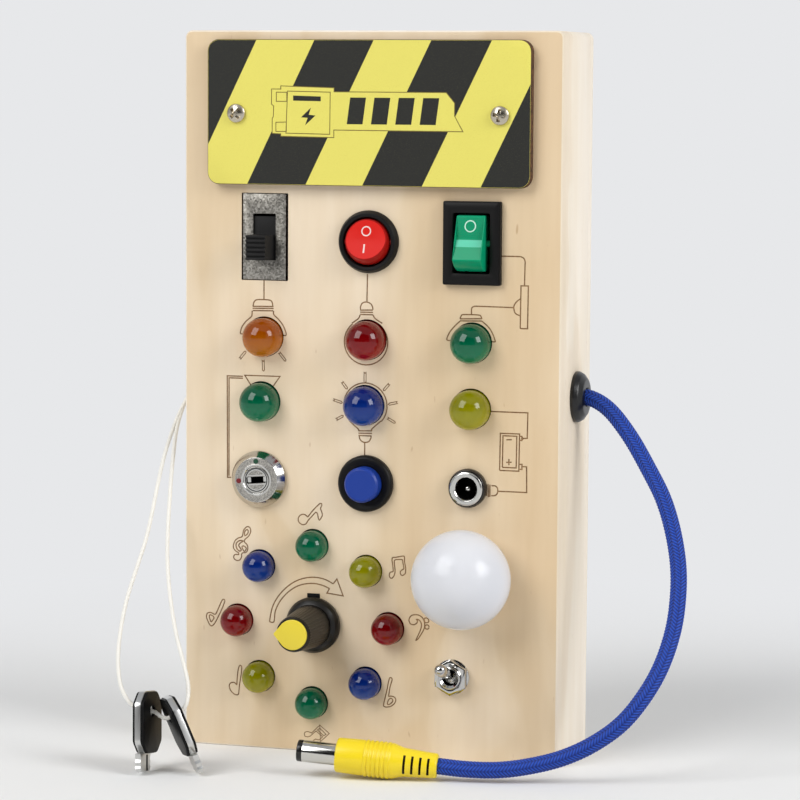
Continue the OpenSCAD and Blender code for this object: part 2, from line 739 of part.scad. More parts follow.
module rotary_shaft() color("lightgray") on_face(dial_at) {
    translate([0, 0, -panel_t - 8]) cylinder(r = shaft_r, h = panel_t + 8 + shaft_out);
    translate([0, 0, -panel_t - 5]) cylinder(r = shaft_disc[0], h = shaft_disc[1]);
}

module knob_body() color("#2b2826") on_face(dial_at) difference() {
    rotate_extrude() polygon([[0, knob_gap], [skirt_d / 2, knob_gap], [skirt_d / 2, 1.6], [6.6, 2.6],
        [knob_body_r, 3.6], [knob_top_r, knob_h - pointer_t], [0, knob_h - pointer_t]]);
    cylinder(r = 5.1, h = 3.4);
    cylinder(r = shaft_r + 0.01, h = shaft_out + run);
}

module knob_pointer() color("#ebd84c") on_face(dial_at, knob_h - pointer_t) linear_extrude(pointer_t) {
    touch = acos(pointer_r / pointer_reach);
    circle(pointer_r);
    polygon([[-pointer_reach, 0], pointer_r * [-cos(touch), -sin(touch)],
        pointer_r * [-cos(touch), sin(touch)]]);
}

// ---------- toggle switch ----------

module toggle_body() color("#8a2b20") on_face(toggle_at) difference() {
    block(toggle_box, [0, 0, -panel_t - toggle_box[2] / 2]);
    block([toggle_well[0], toggle_well[1], 16], [0, 0, -panel_t]);
}

module toggle_bushing() color("silver") on_face(toggle_at) difference() {
    translate([0, 0, -panel_t]) cylinder(r = toggle_bush_r, h = panel_t + toggle_front);
    translate([0, 0, -panel_t - 1]) cylinder(r = ball_r + run, h = panel_t + toggle_front + 2);
    translate([0, 0, toggle_front - 0.5]) cylinder(r1 = ball_r + run, r2 = 2.45, h = 0.501);
    translate([0, 0, -panel_t - 1]) cylinder(r = 2.5, h = 4);
}

module toggle_nut() color("silver") on_face(toggle_at) {
    ring(washer[0], toggle_bush_r + run, 0, washer[1]);
    hex_nut(toggle_nut_size[0], toggle_bush_r + run, washer[1], washer[1] + toggle_nut_size[1]);
}

module toggle_lever() color("silver") on_face(toggle_at, toggle_pivot) rotate([-toggle_lean, 0, 0]) {
    sphere(ball_r);
    cylinder(r = neck_r, h = 5);
    translate([0, 0, -8]) cylinder(r = tail_r, h = 8);
    rotate_extrude() {
        polygon([[0, 3.4], [neck_r, 3.4], [lever_r, 6.5], [lever_r, lever_len - lever_r],
            [0, lever_len - lever_r]]);
        translate([0, lever_len - lever_r]) intersection() {
            circle(lever_r);
            square(lever_r);
        }
    }
}

// ---------- nuts behind the panel ----------

module panel_nuts() color("silver") {
    on_face(lock_at) hex_nut(large_nut[0], lock_r + run, -panel_t - large_nut[1], -panel_t);
    on_face(push_at) hex_nut(large_nut[0], push_r + run, -panel_t - large_nut[1], -panel_t);
    on_face(jack_at) hex_nut(jack_nut[0], jack_r + run, -panel_t - jack_nut[1], -panel_t);
    on_face(dial_at) hex_nut(dial_nut[0], dial_bush_r + run, 0, dial_nut[1]);
}

// ---------- lamps ----------

module globe_diffuser() color("white") on_face(globe_at) difference() {
    union() {
        translate([0, 0, globe_centre]) sphere(d = globe_d);
        translate([0, 0, -panel_t]) cylinder(r = globe_neck_r, h = panel_t + 2);
    }
    translate([0, 0, globe_centre]) sphere(d = globe_d - 2 * globe_wall);
    translate([0, 0, -panel_t - 1]) cylinder(r = globe_neck_r - globe_wall, h = panel_t + 4);
    difference() {
        block([2 * globe_d, 2 * globe_d, 6], [0, 0, -3]);
        translate([0, 0, -8]) cylinder(r = globe_neck_r, h = 12);
    }
}

module globe_led_board() color("beige") on_face(globe_at) {
    translate([0, 0, -panel_t - globe_board[1]]) cylinder(r = globe_board[0], h = globe_board[1]);
    translate([0, 0, -panel_t]) cylinder(r = globe_chip[0], h = globe_chip[1]);
}

// Round lamp: flange behind the panel, body through the hole, domed tip
module lamp(d, tip) rotate_extrude() {
    translate([0, -panel_t - led_flange_t]) square([d / 2 + led_lip, led_flange_t]);
    translate([0, -panel_t - 0.5]) square([d / 2, panel_t + 0.5 + tip - d / 2]);
    translate([0, tip - d / 2]) intersection() {
        circle(d / 2);
        square(d / 2);
    }
}

module lamp_set(places, d, tip) for (p = places) on_face(p) lamp(d, tip);

module led_orange() color("#a85a1c") lamp_set(lamp_orange, lamp_d, lamp_tip);
module led_red() color("#7e1c20") lamp_set(lamp_red, lamp_d, lamp_tip);
module led_green() color("#1f7350") lamp_set(lamp_green, lamp_d, lamp_tip);
module led_blue() color("#20307f") lamp_set(lamp_blue, lamp_d, lamp_tip);
module led_yellow() color("#93932e") lamp_set(lamp_yellow, lamp_d, lamp_tip);
module ring_led_green() color("#1f7350") lamp_set(ring_green, small_lamp_d, small_tip);
module ring_led_yellow() color("#93932e") lamp_set(ring_yellow, small_lamp_d, small_tip);
module ring_led_red() color("#7e1c20") lamp_set(ring_red, small_lamp_d, small_tip);
module ring_led_blue() color("#20307f") lamp_set(ring_blue, small_lamp_d, small_tip);

// ---------- terminals and wires ----------

// Flat tag or round pin that hangs from a switch at a height behind the face
module tag(at, from, length, size = [2.8, 0.6])
    on_face(at, from - length) linear_extrude(length) square(size, center = true);
module pin(at, from, length, r) on_face(at, from - length) cylinder(r = r, h = length);

// Depths of the backs of the switches, where their tags start
slide_back = slide_floor - slide_base_t;
lock_back = -lock_depth - lock_base_h;
push_back = -push_depth - push_base_h;
globe_back = -panel_t - globe_board[1];
dial_back = -panel_t - dial_body_h;
toggle_back = -panel_t - toggle_box[2];
lamp_back = -panel_t - led_flange_t;

module terminals() color("gainsboro") {
    for (k = [-1:1], s = [-1, 1]) pin(slide_at + [s * 2.5, k * 4], slide_back, pin_len[2], 0.45);
    for (s = [-1, 1]) {
        tag(round_at + [0, s * 3.6], -round_depth, tag_len);
        tag(square_at + [0, s * 5], -square_depth, tag_len);
        tag(lock_at + [s * 3.4, 0], lock_back, short_tag, [0.6, 2.4]);
        tag(push_at + [s * 3.4, 0], push_back, short_tag, [0.6, 2.4]);
        tag(jack_at + [0, s * 2.6], -jack_depth, short_tag, [2.2, 0.5]);
        pin(globe_at + [s * 5, 0], globe_back, pin_len[0], 0.4);
    }
    for (k = [0:7]) pin(dial_at + 7.6 * [sin(45 * k), cos(45 * k)], dial_back, pin_len[2], 0.4);
    pin(dial_at, dial_back, pin_len[2], 0.4);
    for (k = [-1:1]) pin(toggle_at + [0, 4.7 * k], toggle_back, pin_len[1], 0.5);
    for (p = concat(lamps, small_lamps), s = [-1, 1]) pin(p + [s * 1.27, 0], lamp_back, pin_len[3], 0.3);
    on_face(jack_at, jack_floor_t - jack_depth) {
        cylinder(d = jack_pin_d, h = jack_depth - jack_floor_t - 1);
        translate([0, 0, jack_depth - jack_floor_t - 1]) sphere(d = jack_pin_d);
    }
}

// Wire between two tags: down to its own layer, across, and back up
function wire_point(at, h) = [at[0], face_y - h, at[1]];
module wire(a, a_h, b, b_h, layer) {
    step = unit(b - a);
    tube([wire_point(a, a_h - wire_gap), wire_point(a, layer + 1.2), wire_point(a + 1.2 * step, layer),
        wire_point(b - 1.2 * step, layer), wire_point(b, layer + 1.2), wire_point(b, b_h - wire_gap)],
        wire_r, 6);
}

lug_end = tray_back - lug_size[2] + 0.05;
slide_end = slide_back - pin_len[2];
round_end = -round_depth - tag_len;
square_end = -square_depth - tag_len;
lock_end = lock_back - short_tag;
push_end = push_back - short_tag;
jack_end = -jack_depth - short_tag;
globe_end = globe_back - pin_len[0];
dial_end = dial_back - pin_len[2];
toggle_end = toggle_back - pin_len[1];
lamp_end = lamp_back - pin_len[3];

module wires_red() color("#b3241c") {
    wire(plate_at + [-lug_at[0], lug_at[1]], lug_end, slide_at + [-2.5, 4], slide_end, red_layer);
    wire(slide_at + [2.5, 4], slide_end, round_at + [0, 3.6], round_end, red_layer);
    wire(round_at + [0, -3.6], round_end, lamp_red[0] + [-1.27, 0], lamp_end, red_layer);
    wire(square_at + [0, -5], square_end, lamp_green[0] + [1.27, 0], lamp_end, red_layer);
    wire(slide_at + [-2.5, -4], slide_end, lamp_orange[0] + [-1.27, 0], lamp_end, red_layer);
    wire(lock_at + [3.4, 0], lock_end, push_at + [-3.4, 0], push_end, red_layer);
    wire(toggle_at + [0, 4.7], toggle_end, globe_at + [-5, 0], globe_end, red_layer);
    wire(dial_at, dial_end, toggle_at + [0, -4.7], toggle_end, red_layer);
}

module wires_black() color("#222222") {
    wire(plate_at + lug_at, lug_end, square_at + [0, 5], square_end, black_layer);
    wire(lamp_orange[0] + [1.27, 0], lamp_end, lamp_red[0] + [1.27, 0], lamp_end, black_layer);
    wire(lamp_green[1] + [1.27, 0], lamp_end, lamp_blue[0] + [-1.27, 0], lamp_end, black_layer);
    wire(lamp_blue[0] + [1.27, 0], lamp_end, lamp_yellow[0] + [-1.27, 0], lamp_end, black_layer);
    wire(jack_at + [0, 2.6], jack_end, lamp_yellow[0] + [1.27, 0], lamp_end, black_layer);
    wire(push_at + [3.4, 0], push_end, jack_at + [0, -2.6], jack_end, black_layer);
    wire(globe_at + [5, 0], globe_end, toggle_at, toggle_end, black_layer);
}

// ---------- cord and plug ----------

module cord_grommet() color("#1d1d1f") on_right(grommet_y, grommet_z) rotate_extrude() {
    bore = cord_d / 2 + 0.2;
    lip = grommet_lip[0];
    polygon([[bore, -wall_t - grommet_lip[1]], [lip, -wall_t - grommet_lip[1]], [lip, -wall_t],
        [grommet_bore_r, -wall_t], [grommet_bore_r, 0], [grommet_flange[0], 0],
        [grommet_flange[0], grommet_flange[1]], [6.1, 1.7], [5.2, 2.5],
        [4, grommet_flange[2]], [bore, grommet_flange[2]]]);
}

module cord_stop() color("#1d1d1f") translate([cord_stop_x - cord_stop_size[1], grommet_y, grommet_z])
    rotate([0, 90, 0]) cylinder(r = cord_stop_size[0], h = cord_stop_size[1]);

module blue_cord() color("#1f3fa8") tube(cord_route, cord_d / 2, 12);

// Stand at the plug's tail, Z along the plug to its tip
module on_plug(h = 0)
    translate(plug_tail) rotate([0, 90 - plug_rise, plug_turn]) translate([0, 0, h]) children();

module plug_shell() color("#f2da28") on_plug() difference() {
    rotate_extrude() polygon(concat(
        [[0, 0], [2.75, 0], [3.05, 0.3], [3.6, 8.7], [4.5, 11.4]],
        [for (k = [0:5]) let (z = 11.9 + 1.1 * k) each
            [[4.62, z], [4.62, z + 0.6], [4.5, z + 0.7], [4.5, z + 1]]],
        [[4.5, 18.7], [4.3, plug_len - 0.3], [4.05, plug_len], [0, plug_len]]));
    for (k = [0:3], s = [-1, 1]) block([8, 1.6, 0.7], [0, s * (3.45 + 0.07 * k), 2.1 + 2 * k]);
}

module plug_barrel() color("silver") on_plug(plug_len) difference() {
    cylinder(d = barrel_d, h = barrel_len - 1.3);
    translate([0, 0, 1]) cylinder(r = 1.5, h = barrel_len);
}

module plug_tip() color("#1d1d1f") on_plug(plug_len + barrel_len - 1.3) difference() {
    cylinder(d = barrel_d, h = 1.3);
    translate([0, 0, -1]) cylinder(r = 1.1, h = 4);
}

// ---------- string and keys ----------

module key_string() color("white") {
    tube(string_route, string_d / 2, 8);
    translate([string_in_x + knot_r, grommet_y, string_z]) sphere(knot_r);
}

// Stand at a blade's tip: X through the thickness, Y across the key, Z towards the head
module on_key(place)
    translate(place[0]) rotate([0, 0, place[1]]) rotate([0, place[2], 0]) rotate([-place[3], 0, 0]) children();

module key_outline(grow) {
    half = key_w / 2 + grow;
    low = key_head_from - grow;
    top = key_len + grow;
    polygon([[half - key_chamfer, low], [half, low + key_chamfer], [half, top - key_chamfer],
        [half - key_chamfer, top], [key_chamfer - half, top], [-half, top - key_chamfer],
        [-half, low + key_chamfer], [key_chamfer - half, low]]);
}

// Plate of the key between two thickness positions
module key_slab(from, to) rotate([90, 0, 90]) translate([0, 0, from]) linear_extrude(to - from) children();

module key_hole() translate([0, 0, key_len - key_hole_drop]) across(key_hole_r, 4);

module key_blades() color("lightgray") for (place = [key_a, key_b]) on_key(place) difference() {
    key_slab(-key_core_t / 2, key_core_t / 2) union() {
        key_outline(0);
        b = key_blade_w / 2;
        translate([key_blade_off, 0]) polygon([[-b, 0.8], [0.8 - b, 0], [b - 0.8, 0], [b, 0.8], [b, key_head_from + 2],
            [-b, key_head_from + 2]]);
    }
    key_hole();
}

module key_heads() color("#1a1a1b") for (place = [key_a, key_b], s = [-1, 1]) on_key(place) difference() {
    far = key_core_t / 2 + key_cover_t;
    if (s > 0) key_slab(key_core_t / 2, far) key_outline(-0.2);
    else key_slab(-far, -key_core_t / 2) key_outline(-0.2);
    key_hole();
}

front_panel();
frame_left();
frame_right();
frame_top();
frame_bottom();
back_panel();
back_screws();
warning_plate();
plate_screws();
battery_holder();
battery_cells();
battery_contacts();
slide_switch_frame();
slide_switch_base();
slide_switch_slider();
round_rocker_body();
round_rocker_cap();
square_rocker_body();
square_rocker_cap();
key_switch_body();
key_switch_core();
key_switch_base();
push_button_body();
push_button_cap();
push_button_spring();
dc_jack_body();
dc_jack_ring();
rotary_switch_body();
rotary_shaft();
knob_body();
knob_pointer();
toggle_body();
toggle_bushing();
toggle_nut();
toggle_lever();
panel_nuts();
globe_diffuser();
globe_led_board();
led_orange();
led_red();
led_green();
led_blue();
led_yellow();
ring_led_green();
ring_led_yellow();
ring_led_red();
ring_led_blue();
terminals();
cord_grommet();
cord_stop();
blue_cord();
plug_shell();
plug_barrel();
plug_tip();
key_string();
key_blades();
key_heads();
wires_red();
wires_black();
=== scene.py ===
# %% [markdown]
# # A wooden busy board
# A busy board is a shallow wooden box full of real switches and lamps that a small child can work.
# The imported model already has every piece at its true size, so this lesson only adds what the eye
# looks for next: soft edges, printed and burnt drawings, and believable finishes.

import json
import math
from bisect import bisect

import bmesh
import bpy
from mathutils import Matrix, Vector
from mathutils.geometry import convex_hull_2d, delaunay_2d_cdt


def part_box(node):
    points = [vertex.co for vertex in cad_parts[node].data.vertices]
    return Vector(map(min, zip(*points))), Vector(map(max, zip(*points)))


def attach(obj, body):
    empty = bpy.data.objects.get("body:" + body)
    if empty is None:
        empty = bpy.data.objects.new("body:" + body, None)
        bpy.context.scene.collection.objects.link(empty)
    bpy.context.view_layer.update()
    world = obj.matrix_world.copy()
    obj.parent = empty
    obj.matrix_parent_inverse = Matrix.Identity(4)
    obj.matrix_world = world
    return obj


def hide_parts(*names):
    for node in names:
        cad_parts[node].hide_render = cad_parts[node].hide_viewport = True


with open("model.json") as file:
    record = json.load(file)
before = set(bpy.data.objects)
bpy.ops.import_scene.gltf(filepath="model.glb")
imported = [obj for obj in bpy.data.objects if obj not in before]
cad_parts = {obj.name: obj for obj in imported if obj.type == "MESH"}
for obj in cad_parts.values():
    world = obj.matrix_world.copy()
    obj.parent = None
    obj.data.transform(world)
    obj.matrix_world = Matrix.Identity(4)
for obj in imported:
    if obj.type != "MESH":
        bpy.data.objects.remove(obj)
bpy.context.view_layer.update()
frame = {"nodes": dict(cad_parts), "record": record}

# %% [markdown]
# ## Working in millimetres
# All sizes below are real millimetres on the board's face: u to the right, v up, h out of the wood.
# One matrix turns them to the shared frame's axes, and a piece is scaled to metres as it is built, so
# no number has to be converted by hand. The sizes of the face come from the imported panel, and each
# part's place on it is named once.

# %% Places on the face
MM = 0.001
panel_low, panel_high = ([round(c / MM, 3) for c in corner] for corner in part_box("front_panel"))
WIDTH, PANEL, HEIGHT = (b - a for a, b in zip(panel_low, panel_high))
FACE_Y = panel_low[1]
PLATE = (-0.3, 164.35)
PLATE_SCREWS = ((-35.1, 164.0), (34.5, 164.0))
SLIDE_SWITCH = (-28.3, 132.6)
ROUND_ROCKER = (-0.35, 131.9)
SQUARE_ROCKER = (27.1, 132.1)
KEY_SWITCH = (-29.5, 70.3)
PUSH_BUTTON = (-0.7, 70.35)
SOCKET = (26.35, 70.3)
GLOBE = (27, 48.1)
DIAL = (-14.6, 33.2)
LAMP_RING = (-15, 33.2)
TOGGLE = (22.5, 21.8)


def on_face(x, z, h=0, tilt=0):
    """Matrix from (u, v, h) about a spot on the face; a positive tilt sinks the top edge inward."""
    axes = Matrix(((1, 0, 0, x), (0, 0, -1, FACE_Y - h), (0, 1, 0, z), (0, 0, 0, 1)))
    return axes @ Matrix.Rotation(math.radians(-tilt), 4, "X")


WORLD = Matrix.Identity(4)
SIDEWAYS = Matrix.Rotation(math.pi / 2, 4, "Y")
print("face panel", WIDTH, "x", HEIGHT, "x", PANEL, "mm")

# %% [markdown]
# ## Shapes from loops
# Turned and moulded parts are stacks of loops, like the contour lines of a hill. One function joins
# neighbouring loops with strips and closes the two ends, and another rounds the corners of a profile,
# because every real edge has a small radius that catches the light.


# %% Round lines and eased corners
def circle(r, h=0, sides=64, centre=(0, 0)):
    turns = [2 * math.pi * k / sides for k in range(sides)]
    return [(centre[0] + r * math.cos(a), centre[1] + r * math.sin(a), h) for a in turns]


def arc(x, y, r, start, end, steps=28):
    """Points of a round line between two angles in degrees."""
    turns = [math.radians(start + (end - start) * k / steps) for k in range(steps + 1)]
    return [(x + r * math.cos(a), y + r * math.sin(a)) for a in turns]


def rounded(corners, steps=4):
    """Turns (x, y, radius) corners of a closed or open line into points with arcs."""
    points = []
    for k, (x, y, radius) in enumerate(corners):
        here = Vector((x, y))
        if not radius:
            points.append(here)
            continue
        to_last = (Vector(corners[k - 1][:2]) - here).normalized()
        to_next = (Vector(corners[(k + 1) % len(corners)][:2]) - here).normalized()
        half = to_last.angle(to_next) / 2
        centre = here + (to_last + to_next).normalized() * radius / math.sin(half)
        start = here + to_last * radius / math.tan(half) - centre
        end = here + to_next * radius / math.tan(half) - centre
        sweep = start.angle(end)
        for s in range(steps + 1):
            a, b = math.sin((1 - s / steps) * sweep), math.sin(s / steps * sweep)
            points.append(centre + (start * a + end * b) / math.sin(sweep))
    return points


def box_loop(width, height, radius, h=0, centre=(0, 0), steps=4):
    x, y = width / 2, height / 2
    r = max(radius, 0.01)
    outline = rounded([(x, -y, r), (x, y, r), (-x, y, r), (-x, -y, r)], steps)
    return [(centre[0] + p.x, centre[1] + p.y, h) for p in outline]


# %% Lofts and turned shapes
AXIS = 1e-5  # radius of a loop that closes on the axis


def loft(loops, place=WORLD, index=0, ring=False, capped=True):
    """Strips between loops of equal count. A ring closes on itself; another stack may be capped."""
    count = len(loops[0])
    vertices = [place @ Vector(p) for loop in loops for p in loop]
    faces = []
    for k in range(len(loops) - (0 if ring else 1)):
        a, b = k * count, (k + 1) % len(loops) * count
        faces += [(a + i, a + (i + 1) % count, b + (i + 1) % count, b + i) for i in range(count)]
    if capped and not ring:
        faces += [tuple(range(count)), tuple(range(len(vertices) - count, len(vertices)))]
    return vertices, faces, index


def lathe(profile, place=WORLD, index=0, sides=64, ring=False):
    """Turns a profile of (radius, height) points about the h axis."""
    return loft([circle(max(r, AXIS), h, sides) for r, h in profile], place, index, ring)


# %% [markdown]
# ## From points to a named piece
# Each finished piece is one closed mesh with its place in its vertices. Merging doubles closes the
# seams, recalculated normals point outward, and edges sharper than the given angle stay crisp.

# %% Build a piece and hang it on its body
SEAM = 1e-6  # metres; points closer than this are one


def in_scene(name, data):
    thing = bpy.data.objects.new(name, data)
    bpy.context.scene.collection.objects.link(thing)
    return thing


def as_piece(name, bm, materials, angle):
    """The worked mesh as an object, its faces turned outward and its finishes in order."""
    bmesh.ops.recalc_face_normals(bm, faces=bm.faces)
    mesh = bpy.data.meshes.new(name)
    bm.to_mesh(mesh)
    bm.free()
    for material in materials:
        mesh.materials.append(material)
    mesh.shade_smooth()
    mesh.set_sharp_from_angle(angle=math.radians(angle))
    return in_scene(name, mesh)


def build(name, chunks, materials, angle=35):
    """Joins chunks of (points in mm, faces, material index or a list with one for each face)."""
    bm = bmesh.new()
    for vertices, faces, index in chunks:
        made = [bm.verts.new(Vector(v) * MM) for v in vertices]
        numbers = index if isinstance(index, list) else [index] * len(faces)
        for corners, number in zip(faces, numbers):
            bm.faces.new([made[i] for i in corners]).material_index = number
    bmesh.ops.remove_doubles(bm, verts=bm.verts, dist=SEAM)
    bmesh.ops.dissolve_degenerate(bm, edges=bm.edges, dist=SEAM / 10)
    return as_piece(name, bm, materials, angle)


def hang(piece, nodes, body="board"):
    """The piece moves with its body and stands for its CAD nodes."""
    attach(piece, body)
    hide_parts(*nodes)
    print(piece.name, len(piece.data.polygons), "faces")
    return piece


# %% [markdown]
# ## Flat sheets with drawings cut in
# The face panel and the yellow plate are flat sheets full of holes and drawings. Every hole, line
# and coloured patch is drawn as an outline, and one triangulation cuts the sheet along all of them at
# once, so a drawing is real geometry and stays sharp however close the camera goes.


# %% Triangles and the outlines they lie in
def turned_left(polygon):
    area = sum(a[0] * b[1] - b[0] * a[1] for a, b in zip(polygon, polygon[1:] + polygon[:1]))
    return polygon if area > 0 else polygon[::-1]


def holds(polygon, u, v):
    """Whether a point lies in a polygon: a ray to the right crosses its edges an odd number of times."""
    odd = False
    for a, b in zip(polygon, polygon[1:] + polygon[:1]):
        if (a[1] > v) != (b[1] > v) and u < a[0] + (v - a[1]) / (b[1] - a[1]) * (b[0] - a[0]):
            odd = not odd
    return odd


def cut_along(polygons):
    """Triangles that no outline crosses: their points, corners, and the outline points of each point."""
    points, cuts = [], []
    for polygon in polygons:
        first, count = len(points), len(polygon)
        cuts += [(first + k, first + (k + 1) % count) for k in range(count)]
        points += [Vector(p) for p in polygon]
    flat, _, triangles, made_from, _, _ = delaunay_2d_cdt(points, cuts, [], 0, 1e-5)
    return flat, triangles, made_from


def owners(flat, triangles, polygons, order):
    """For each triangle the last outline in the order that holds its middle, or -1."""
    middles = [sum((flat[i] for i in triangle), Vector((0, 0))) / 3 for triangle in triangles]
    middles = sorted((*middle, k) for k, middle in enumerate(middles))
    owner = [-1] * len(triangles)
    for number in order:
        polygon = polygons[number]
        low, high = min(p[0] for p in polygon), max(p[0] for p in polygon)
        for u, v, k in middles[bisect(middles, (low,)) : bisect(middles, (high,))]:
            if holds(polygon, u, v):
                owner[k] = number
    return owner


# %% Cut a sheet along outlines
def inlay(skirt, holes=(), figures=(), place=WORLD, zones=None, lift=None, wall=0, edge=0):
    """A closed sheet. skirt: loops from the top edge to the back. figures: (zone, polygon), later
    ones on top. zones: zone -> (material index, depth). lift: height of the top at (u, v). wall and
    edge: material indices of the holes and the skirt."""
    zones = zones or {}
    lift = lift or (lambda u, v: skirt[0][0][2])
    back, first_figure = skirt[-1][0][2], 1 + len(holes)
    outlines = (skirt[0], *holes, *(polygon for _, polygon in figures))
    polygons = [[tuple(p)[:2] for p in outline] for outline in outlines]
    flat, triangles, made_from = cut_along(polygons)
    order = [0, *range(first_figure, len(polygons)), *range(1, first_figure)]
    vertices, faces, seen, used = [], [], {}, {}

    def corner(i, level):
        if (i, level) not in seen:
            u, v = flat[i]
            h = back if level == "back" else lift(u, v) - level
            seen[i, level] = len(vertices)
            vertices.append(place @ Vector((u, v, h)))
        return seen[i, level]

    def step(a, b, top, bottom, index):
        faces.append(([corner(a, top), corner(b, top), corner(b, bottom), corner(a, bottom)], index))

    for triangle, number in zip(triangles, owners(flat, triangles, polygons, order)):
        if number < 0 or 0 < number < first_figure:
            continue
        zone = figures[number - first_figure][0] if number else None
        index, depth = zones.get(zone, (0, 0))
        faces.append(([corner(i, depth) for i in triangle], index))
        faces.append(([corner(i, "back") for i in triangle], 0))
        for a, b in zip(triangle, triangle[1:] + triangle[:1]):
            used.setdefault((min(a, b), max(a, b)), []).append((depth, index))
    rim = {k for k, olds in enumerate(made_from) if any(o < len(polygons[0]) for o in olds)}
    for (a, b), sides in used.items():
        levels = sorted({depth for depth, _ in sides})
        if len(sides) == 2 and len(levels) == 2:
            step(a, b, levels[0], levels[1], max(sides)[1])
        if len(sides) == 1 and not (a in rim and b in rim):
            step(a, b, levels[0], "back", wall)
    groups = {}
    for corners, index in faces:
        groups.setdefault(index, []).append(tuple(corners))
    sheet = [(vertices, group, index) for index, group in groups.items()]
    foot = [(p[0], p[1], back) for p in skirt[0]]
    return sheet + [loft([*skirt, foot], place, edge, capped=False)]


def skirt_of(outline, top, bottom, radius, steps=3):
    """Loops of a convex outline from a rounded top edge down to the bottom."""
    turns = [math.pi / 2 * s / steps for s in range(steps + 1)]
    levels = [(radius * (1 - math.sin(a)), top - radius * (1 - math.cos(a))) for a in turns]
    corners = [Vector(p[:2]) for p in outline]
    loops = []
    for inset, h in [*levels, (0, bottom)]:
        loop = []
        for last, here, following in zip(corners[-1:] + corners, corners, corners[1:] + corners[:1]):
            into, away = (here - last).normalized(), (following - here).normalized()
            normal = Vector((-(into + away).y, (into + away).x)).normalized()
            p = here + normal * inset / max(0.5, normal.dot(Vector((-into.y, into.x))))
            loop.append((p.x, p.y, h))
        loops.append(loop)
    return loops


# %% [markdown]
# ## Lines as figures
# A burnt or printed line is a row of small quads that follow its points. Corners are mitred, so the
# line keeps its width where it bends, and curves are drawn smoothly through a few given points.


# %% Lines, bars and curves
def ribbon(points, width, closed=False):
    """Quads along a line, mitred where it bends: one burnt or printed stroke."""
    points = [Vector(p) for p in points]
    count, pairs = len(points), []
    for k, p in enumerate(points):
        steps = []
        if k or closed:
            steps.append((p - points[k - 1]).normalized())
        if k < count - 1 or closed:
            steps.append((points[(k + 1) % count] - p).normalized())
        along = sum(steps, Vector((0, 0))).normalized()
        across = Vector((-along.y, along.x))
        reach = width / 2 / max(0.5, abs(along.dot(steps[0])))
        pairs.append((p + across * reach, p - across * reach))
    quads = []
    for k in range(count if closed else count - 1):
        corners = [*pairs[k], *pairs[(k + 1) % count]]
        quads.append([corners[i] for i in convex_hull_2d(corners)])
    return quads


def bar(x, z, width, height):
    u, v = width / 2, height / 2
    return [(x - u, z - v), (x + u, z - v), (x + u, z + v), (x - u, z + v)]


def flowing(points, steps=5, closed=False):
    """A smooth curve, flat or in space, through given points."""
    points = [Vector(p) for p in points]
    count, curve = len(points), []
    for k in range(count if closed else count - 1):
        a, b = points[k], points[(k + 1) % count]
        before = points[k - 1] if k or closed else a
        after = points[(k + 2) % count] if k < count - 2 or closed else b
        for s in range(steps):
            t = s / steps
            curve.append(0.5 * (2 * a + (b - before) * t + (2 * before - 5 * a + 4 * b - after) * t * t
                                + (3 * a - before - 3 * b + after) * t**3))
    return curve if closed else curve + [points[-1]]


# %% [markdown]
# ## The camera
# The box is seen slightly from its right and slightly from above, through a long lens, so its
# uprights stay almost parallel as they do to the eye from a few paces away.

# %% Camera
PICTURE = 800  # pixels across
FOCAL = 3242  # focal length in those pixels
eye = Vector((251.8, -795.4, 171.7)) * MM
turn, drop, roll = (math.radians(a) for a in (17.34, 5.57, 0.353))
lens = bpy.data.cameras.new("camera")
lens.sensor_width = 36
lens.lens = FOCAL / PICTURE * lens.sensor_width
lens.clip_start, lens.clip_end = 0.05, 50
camera = in_scene("camera", lens)
camera.matrix_world = (
    Matrix.Translation(eye) @ Matrix.Rotation(turn, 4, "Z")
    @ Matrix.Rotation(math.pi / 2 - drop, 4, "X") @ Matrix.Rotation(roll, 4, "Z")
)
bpy.context.scene.camera = camera
print("lens", round(lens.lens, 1), "mm")

# %% [markdown]
# ## Mixing finishes
# Colours are given as the screen shows them and turned to the linear values light adds up in. One
# small function places any shader node and fills or links its sockets, so each recipe below reads
# as a list of what the surface is made of. A pattern is scaled by the real width of its features.


# %% Colour and node helpers
def lin(code):
    """sRGB hex to linear RGBA."""
    parts = [int(code[i : i + 2], 16) / 255 for i in (0, 2, 4)]
    return tuple(c / 12.92 if c <= 0.04045 else ((c + 0.055) / 1.055) ** 2.4 for c in parts) + (1,)


def per_metre(width):
    """The scale that makes a pattern's features about this many millimetres wide."""
    return 1 / (width * MM)


def fill(tree, node, inputs):
    """Sets each input to a value, or links it to a socket or to a node's first output."""
    for key, value in inputs.items():
        if isinstance(value, bpy.types.Node):
            value = value.outputs[0]
        if isinstance(value, bpy.types.NodeSocket):
            tree.links.new(value, node.inputs[key])
        else:
            node.inputs[key].default_value = value


def add(tree, kind, inputs=None, stops=(), **settings):
    """Adds a node with its settings, its inputs and, for a colour ramp, its (position, hex) stops."""
    node = tree.nodes.new(kind)
    for name, value in settings.items():
        setattr(node, name, value)
    fill(tree, node, inputs or {})
    if stops:
        elements = node.color_ramp.elements
        while len(elements) < len(stops):
            elements.new(1)
        for element, (position, code) in zip(elements, stops):
            element.position, element.color = position, lin(code)
    return node


def finish(name, colour, roughness, **inputs):
    """A principled surface; keys are socket names with underscores for spaces."""
    material = bpy.data.materials.new(name)
    material.use_nodes = True
    tree = material.node_tree
    shader = tree.nodes["Principled BSDF"]
    sockets = {key.replace("_", " "): value for key, value in inputs.items()}
    fill(tree, shader, {"Base Color": lin(colour), "Roughness": roughness, **sockets})
    return material, tree, shader


